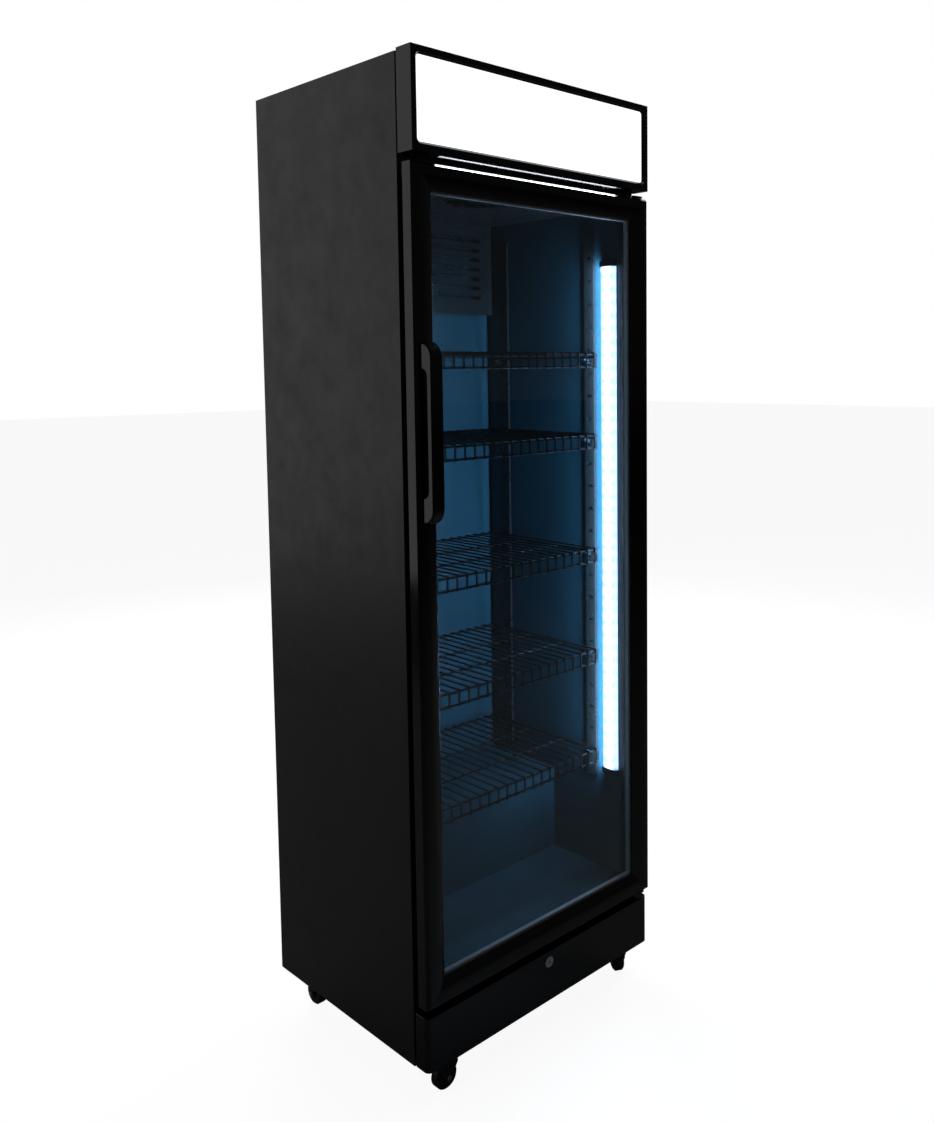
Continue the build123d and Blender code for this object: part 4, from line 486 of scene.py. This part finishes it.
# %% Turned shapes
def select_level(piece, side):
    """Selects, in edit mode, only the faces at the top (side 1) or the bottom (side -1)."""
    # a new primitive is selected all over, its corners too, so that is cleared first
    bpy.ops.object.mode_set(mode="EDIT")
    bpy.ops.mesh.select_mode(type="FACE")
    bpy.ops.mesh.select_all(action="DESELECT")
    bpy.ops.object.mode_set(mode="OBJECT")
    heights = [side * v.co.z for v in piece.data.vertices]
    peak = max(heights)
    for polygon in piece.data.polygons:
        polygon.select = all(heights[i] > peak - 1e-6 for i in polygon.vertices)
    bpy.ops.object.mode_set(mode="EDIT")


def turned_disc(sides, radius, height, steps):
    """A disc standing on z = 0. Each step insets the top, then moves it up or down."""
    start_piece()
    bpy.ops.mesh.primitive_cylinder_add(vertices=sides, radius=radius, depth=height,
                                        location=(0, 0, height / 2))
    disc = bpy.context.object
    bpy.ops.object.transform_apply(location=True)
    select_level(disc, 1)
    for inset, lift in steps:
        bpy.ops.mesh.inset(thickness=inset, depth=0)
        bpy.ops.transform.translate(value=(0, 0, lift))
    bpy.ops.object.mode_set(mode="OBJECT")
    return disc


def facing(direction, place):
    """Stands a piece made on z = 0 at a place, its top towards a direction."""
    turned = Vector(direction).to_track_quat("Z", "Y").to_matrix().to_4x4()
    return Matrix.Translation(place) @ turned


def screws(name, radius, height, places, body, material):
    """One screw modelled once and copied to every place."""
    rim, shoulder, crown, recess = 0.6 * height, 0.25 * height, 0.15 * height, 0.5 * height
    head = turned_disc(14, radius, rim, [
        (0.14 * radius, shoulder), (0.3 * radius, crown), (0.12 * radius, -recess)])
    settle(copies(head, places), name, body, material)


# %% [markdown]
# Each hinge bracket is held to the cabinet by two screws, one above the other. Their places
# could be typed in, but they are worked out from the bracket's own box, so that a hinge
# that moves takes its screws along.

# %% Hinge screws
HINGE_LEG, HINGE_SHEET = 48 * MM, 3 * MM  # height and thickness of the upright leg
LEG_SCREWS = (19.5 * MM, 38.5 * MM)  # from the leg's root

hinge_places = []
for node, outward in (("upper_hinge", 1), ("lower_hinge", -1)):
    low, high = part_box(node)
    middle = (low.x + high.x) / 2
    root = high.z - HINGE_LEG if outward > 0 else low.z + HINGE_LEG
    for rise in LEG_SCREWS:
        spot = (middle, high.y - HINGE_SHEET, root + outward * rise)
        hinge_places.append(facing((0, -1, 0), spot))
screws("hinge_screws", 3.6 * MM, 0.9 * MM, hinge_places, "cabinet", black_steel)

# %% [markdown]
# The back panel is screwed down its two long edges, and the grille at its corners and
# middle. Screws also hold the canopy from below. Each row is spread evenly by a loop,
# because a factory drills such holes at one pitch.

# %% Back and canopy screws
PANEL_ROWS, PANEL_EDGE = 8, 9 * MM
PANEL_BEAD = 2.5 * MM  # the panel's two pressed beads stand this far out of its sheet
GRILLE_SIDE_EDGE, GRILLE_END_EDGE = 12 * MM, 10 * MM
CANOPY_SCREWS, CANOPY_PITCH, CANOPY_EDGE = 4, 180 * MM, 12 * MM

panel_low, panel_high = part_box("rear_panel")
panel_height = panel_high.z - panel_low.z
rear_places = []
for side in (panel_low.x + PANEL_EDGE, panel_high.x - PANEL_EDGE):
    for row in range(PANEL_ROWS):
        level = panel_low.z + (row + 0.5) / PANEL_ROWS * panel_height
        rear_places.append(facing((0, 1, 0), (side, panel_high.y - PANEL_BEAD, level)))
grille_low, grille_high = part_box("rear_grille")
for side in (grille_low.x + GRILLE_SIDE_EDGE, 0, grille_high.x - GRILLE_SIDE_EDGE):
    for level in (grille_low.z + GRILLE_END_EDGE, grille_high.z - GRILLE_END_EDGE):
        rear_places.append(facing((0, 1, 0), (side, grille_high.y, level)))
screws("rear_screws", 4.2 * MM, 2.2 * MM, rear_places, "cabinet", zinc_plate)

canopy_low, canopy_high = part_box("canopy_housing")
under_places = [
    facing((0, 0, -1), ((i - (CANOPY_SCREWS - 1) / 2) * CANOPY_PITCH,
                        canopy_high.y - CANOPY_EDGE, canopy_low.z))
    for i in range(CANOPY_SCREWS)]
screws("canopy_screws", 3.4 * MM, 1.6 * MM, under_places, "cabinet", black_steel)

# %% [markdown]
# ## Panes
# Each pane is cut from flat glass and its sharp edges are ground to a small flat. The CAD
# panes could be kept, but their corners are sharp and catch no light. A cube at the pane's
# size with narrow bevelled edges does, and flat shading keeps the faces true, so that
# reflections stay straight. It stands in for the CAD node.

# %% Glass panes
ARRIS = 0.5 * MM  # width of the ground flat
for node in ("outer_glass", "inner_glass"):
    low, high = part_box(node)
    start_piece()
    bpy.ops.mesh.primitive_cube_add(size=1, location=(low + high) / 2)
    pane = bpy.context.object
    pane.scale = high - low
    bpy.ops.object.transform_apply(location=True, rotation=True, scale=True)
    bpy.ops.object.mode_set(mode="EDIT")
    bpy.ops.mesh.select_all(action="SELECT")
    bpy.ops.mesh.bevel(offset=ARRIS, segments=1, affect="EDGES")
    bpy.ops.object.mode_set(mode="OBJECT")
    settle(pane, "ground_" + node, "door", float_glass)
    start_piece()
    pane.select_set(True)
    bpy.context.view_layer.objects.active = pane
    bpy.ops.object.shade_flat()
    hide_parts(node)

# %% [markdown]
# ## Castors
# Each wheel turns on a bolt that passes through the fork. A pressed dish covers the hub
# on both sides, and a hexagon nut with the bolt's end showing holds it together. They are
# two pieces and not one, because the dish rolls with the wheel and the nut stays with the
# fork. The joint's own centre and axis say where they go.

# %% Hub dishes and axle nuts
HUB_SIDE, LEG_SIDE = 10 * MM, 14.5 * MM  # from the wheel's middle to hub face and leg
DISH_RADIUS, DISH_RIM = 12.5 * MM, 0.5 * MM
DISH_STEPS = [(1.5 * MM, 0.5 * MM), (1.2 * MM, 0.0), (1.5 * MM, -0.6 * MM), (3.0 * MM, 0.3 * MM)]
NUT_RADIUS, NUT_HEIGHT = 5.6 * MM, 3.2 * MM
NUT_STEPS = [(0.7 * MM, 0.4 * MM), (1.6 * MM, 0.0), (0.2 * MM, 1.4 * MM)]

rolls = {j["name"]: j for j in frame["record"]["behaviour"]["joints"]
         if j["name"].endswith("_roll")}
for name, joint in rolls.items():
    centre, axis = Vector(joint["pos_m"]), Vector(joint["axis"])
    sides = [axis, -axis]
    corner = name.replace("_roll", "")
    dish = turned_disc(28, DISH_RADIUS, DISH_RIM, DISH_STEPS)
    settle(copies(dish, [facing(d, centre + d * HUB_SIDE) for d in sides]),
           corner + "_dish", joint["child"], satin_black)
    nut = turned_disc(6, NUT_RADIUS, NUT_HEIGHT, NUT_STEPS)
    settle(copies(nut, [facing(d, centre + d * LEG_SIDE) for d in sides]),
           corner + "_nut", joint["parent"], zinc_plate)

# %% [markdown]
# ## Lamp ends
# The lamp's cover is an extrusion, so a moulded cap closes each end and hides the wires.
# A plain block would catch no light on its edges. One with its edges rounded in three
# steps shows a thin highlight, as moulded plastic does.

# %% Lamp end caps
CAP_GRIP, CAP_OVERHANG = 9 * MM, 3 * MM  # over the cover, and past its end
CAP_WALL, CAP_ROUNDING = 0.8 * MM, 2.4 * MM


def moulded_block(low, high, bevel):
    """A block between two corners, with all its edges rounded."""
    start_piece()
    centre = [(a + b) / 2 for a, b in zip(low, high)]
    bpy.ops.mesh.primitive_cube_add(size=1, location=centre)
    block = bpy.context.object
    block.scale = [b - a for a, b in zip(low, high)]
    bpy.ops.object.transform_apply(location=True, rotation=True, scale=True)
    bpy.ops.object.mode_set(mode="EDIT")
    bpy.ops.mesh.select_all(action="SELECT")
    bpy.ops.mesh.bevel(offset=bevel, segments=3, affect="EDGES")
    bpy.ops.object.mode_set(mode="OBJECT")
    return block


for tag, low_z, high_z in (("lower", cover_low.z - CAP_OVERHANG, cover_low.z + CAP_GRIP),
                           ("upper", cover_high.z - CAP_GRIP, cover_high.z + CAP_OVERHANG)):
    cap = moulded_block((cover_low.x - CAP_WALL, cover_low.y - CAP_WALL, low_z),
                        (channel_high.x, cover_high.y + CAP_WALL, high_z), CAP_ROUNDING)
    settle(cap, "lamp_cap_" + tag, "cabinet", satin_black)

# %% [markdown]
# ## Door seal
# The seal is a soft bellows that lets the magnet reach the steel, so two thin lips run
# round behind the door. Four bars could make a lip, but they would leave seams at the
# corners. A plane whose middle is inset and cut away, then extruded, is one closed ring.

# %% Seal lips
LIP_WIDTH, LIP_THICKNESS = 4.5 * MM, 0.9 * MM
LIPS = (("outer", 1.5 * MM, 5.6 * MM), ("inner", 3.0 * MM, 7.4 * MM))  # inset, depth


def ring(outer_low, outer_high, width, depth):
    """A rectangular ring facing -Y, extruded backwards."""
    start_piece()
    bpy.ops.mesh.primitive_plane_add(size=1, rotation=(math.radians(90), 0, 0))
    band = bpy.context.object
    band.scale = (outer_high.x - outer_low.x, outer_high.z - outer_low.z, 1)
    bpy.ops.object.transform_apply(location=True, rotation=True, scale=True)
    bpy.ops.object.mode_set(mode="EDIT")
    bpy.ops.mesh.select_mode(type="FACE")
    bpy.ops.mesh.select_all(action="SELECT")
    bpy.ops.mesh.inset(thickness=width, depth=0)
    bpy.ops.mesh.delete(type="FACE")
    bpy.ops.mesh.select_all(action="SELECT")
    bpy.ops.mesh.extrude_region_move(TRANSFORM_OT_translate={"value": (0, depth, 0)})
    bpy.ops.mesh.select_all(action="SELECT")
    bpy.ops.mesh.normals_make_consistent(inside=False)
    bpy.ops.object.mode_set(mode="OBJECT")
    middle = (outer_low + outer_high) / 2
    band.location = (middle.x, outer_low.y, middle.z)
    return band


seal_low, seal_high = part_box("door_gasket")
for tag, inset, back in LIPS:
    margin = Vector((inset, 0, inset))
    lip = ring(seal_low + margin + Vector((0, back, 0)), seal_high - margin,
               LIP_WIDTH, LIP_THICKNESS)
    settle(lip, "seal_lip_" + tag, "door", soft_pvc)

# %% [markdown]
# ## Rear grille
# The grille's slots have small pressed hoods that shed dust and water. A hood is a strip
# whose lower edge leans out. The strip could be turned as a whole, but pressing keeps its
# top edge against the sheet, so only its bottom face is moved outwards.

# %% Grille hoods
HOOD_ROWS, HOOD_PITCH, SLOT_HEIGHT = 16, 14 * MM, 6 * MM
SLOT_COLUMNS, COLUMN_GAP = 3, 37 * MM
HOOD_OVERLAP, HOOD_SHEET, HOOD_LEAN = 3 * MM, 1.0 * MM, 1.4 * MM
HOOD_ROUNDING, HOOD_STAND = 0.3 * MM, 0.45 * MM

grille_width = grille_high.x - grille_low.x
slot_length = (grille_width - (SLOT_COLUMNS + 1) * COLUMN_GAP) / SLOT_COLUMNS
start_piece()
bpy.ops.mesh.primitive_cube_add(size=1)
hood = bpy.context.object
hood.scale = (slot_length + HOOD_OVERLAP, HOOD_SHEET, SLOT_HEIGHT)
bpy.ops.object.transform_apply(scale=True)
select_level(hood, -1)
bpy.ops.transform.translate(value=(0, HOOD_LEAN, 0))
bpy.ops.mesh.select_all(action="SELECT")
bpy.ops.mesh.bevel(offset=HOOD_ROUNDING, segments=2, affect="EDGES")
bpy.ops.object.mode_set(mode="OBJECT")
grille_middle = (grille_low.z + grille_high.z) / 2
hood_places = []
for column in (-1, 0, 1):
    for row in range(HOOD_ROWS):
        hood_places.append(Matrix.Translation((
            column * (slot_length + COLUMN_GAP), grille_high.y + HOOD_STAND,
            grille_middle + (row - (HOOD_ROWS - 1) / 2) * HOOD_PITCH)))
settle(copies(hood, hood_places), "grille_hoods", "cabinet", black_steel)

# %% [markdown]
# ## Floor and light
# The machine stands on a pale floor. A truly white floor would throw light up the sides
# and wash the black out, so the floor is mid grey to the light and white only to the
# camera, by a glow that nothing else sees.

# %% Floor
FLOOR_SIZE, FLOOR_LIFT = 60, 0.93

start_piece()
bpy.ops.mesh.primitive_plane_add(size=FLOOR_SIZE, location=(0, 0, 0))
floor = bpy.context.object
floor.name = "floor"
# matt studio floor: no gloss, so it only takes the soft shadow of the machine
pale, tree, shader = finish_named("pale_floor", "#8c8c8d", 0.8)
shader.inputs["Specular IOR Level"].default_value = 0.1
seen = add(tree, "ShaderNodeLightPath")
lift = chain(tree, seen.outputs["Is Camera Ray"], ("MULTIPLY", FLOOR_LIFT))
shader.inputs["Emission Color"].default_value = (1, 1, 1, 1)
tree.links.new(lift, shader.inputs["Emission Strength"])
floor.data.materials.append(pale)
print("floor", FLOOR_SIZE, "m")

# %% [markdown]
# A black machine is seen by what it mirrors, so small lamps would leave it a dark shape.
# Big soft panels stand round it, the strongest behind. The one on the left is large and
# dim, and gives the side its even grey. The one above is for the top and the front.

# %% Studio lights
def area_light(name, place, aim, size, power, colour="#ffffff"):
    """A rectangular lamp that looks from place to aim."""
    data = bpy.data.lights.new(name, "AREA")
    data.shape = "RECTANGLE"
    data.size, data.size_y = size
    data.energy = power
    data.color = linear(colour)[:3]
    lamp = bpy.data.objects.new(name, data)
    bpy.context.scene.collection.objects.link(lamp)
    lamp.location = place
    lamp.rotation_euler = (Vector(aim) - Vector(place)).to_track_quat("-Z", "Y").to_euler()
    lamp.visible_camera = False
    return lamp


studio = [
    area_light("left_panel", (-2.1, 1.9, 2.1), (-0.3, 0, 2.0), (2.8, 3.4), 16),
    area_light("top_softbox", (0.4, -1.2, 3.9), (0, -0.3, 1.0), (2.2, 1.4), 10),
    area_light("back_softbox", (1.4, 3.4, 2.6), (0, 0.2, 1.0), (2.0, 2.0), 40),
    area_light("right_softbox", (3.4, 0.9, 2.4), (0.3, 0, 1.0), (1.6, 2.2), 18),
]
print("studio lights", len(studio))

# %% [markdown]
# The lamp strip is seen, but its small emitters alone would light the shelves with a great
# deal of noise. Long area lights of its height stand beside it and do that work: one
# towards the back of the shelves, one along the wall beside it, one along the door, and a
# weak one on the left for what the walls throw back. They don't show in the glass.

# %% Interior lights
strip = cover_high.z - cover_low.z
interior = [
    area_light("lamp_glow", (cover_low.x - 4 * MM, middle_y, middle_z),
               (cover_low.x - 1, middle_y + 0.45, middle_z), (strip, 0.03), 9, "#b0deff"),
    area_light("wall_wash", (cover_low.x - 3 * MM, cover_high.y + 4 * MM, middle_z),
               (cover_high.x, cover_high.y + 0.2, middle_z), (strip, 0.02), 15, "#9fdcff"),
    area_light("door_wash", (cover_low.x - 5 * MM, cover_low.y - 2 * MM, middle_z),
               (cover_low.x - 1, cover_low.y - 0.25, middle_z), (strip, 0.02), 5, "#cfeaff"),
    area_light("bounce", (-0.25, cover_low.y, middle_z),
               (0.3, cover_low.y - 0.02, middle_z), (strip, 0.04), 2.5, "#b8e6ff"),
]
for lamp in interior:
    lamp.rotation_euler.rotate_axis("Z", math.radians(90))
    lamp.visible_transmission = False
    lamp.visible_glossy = False
print("interior lights", len(interior), "of", round(strip / MM), "mm")

# %% [markdown]
# The room round the machine is white to look at, and almost dark as a source of light. A
# world that is white for every ray would turn each black surface grey, so the camera sees
# one background and everything else another.

# %% World
ROOM_LEVEL = 0.035

world = bpy.data.worlds.new("studio")
bpy.context.scene.world = world
world.use_nodes = True
sky = world.node_tree
sky.nodes.clear()
ray = add(sky, "ShaderNodeLightPath")
white = add(sky, "ShaderNodeBackground", {0: (1, 1, 1, 1), 1: 1.0})
dim = add(sky, "ShaderNodeBackground", {0: (0.9, 0.95, 1, 1), 1: ROOM_LEVEL})
both = add(sky, "ShaderNodeMixShader",
           {0: ray.outputs["Is Camera Ray"], 1: dim.outputs[0], 2: white.outputs[0]})
add(sky, "ShaderNodeOutputWorld", {0: both.outputs[0]})
bpy.context.scene.view_settings.view_transform = "Standard"
print("room level", ROOM_LEVEL)
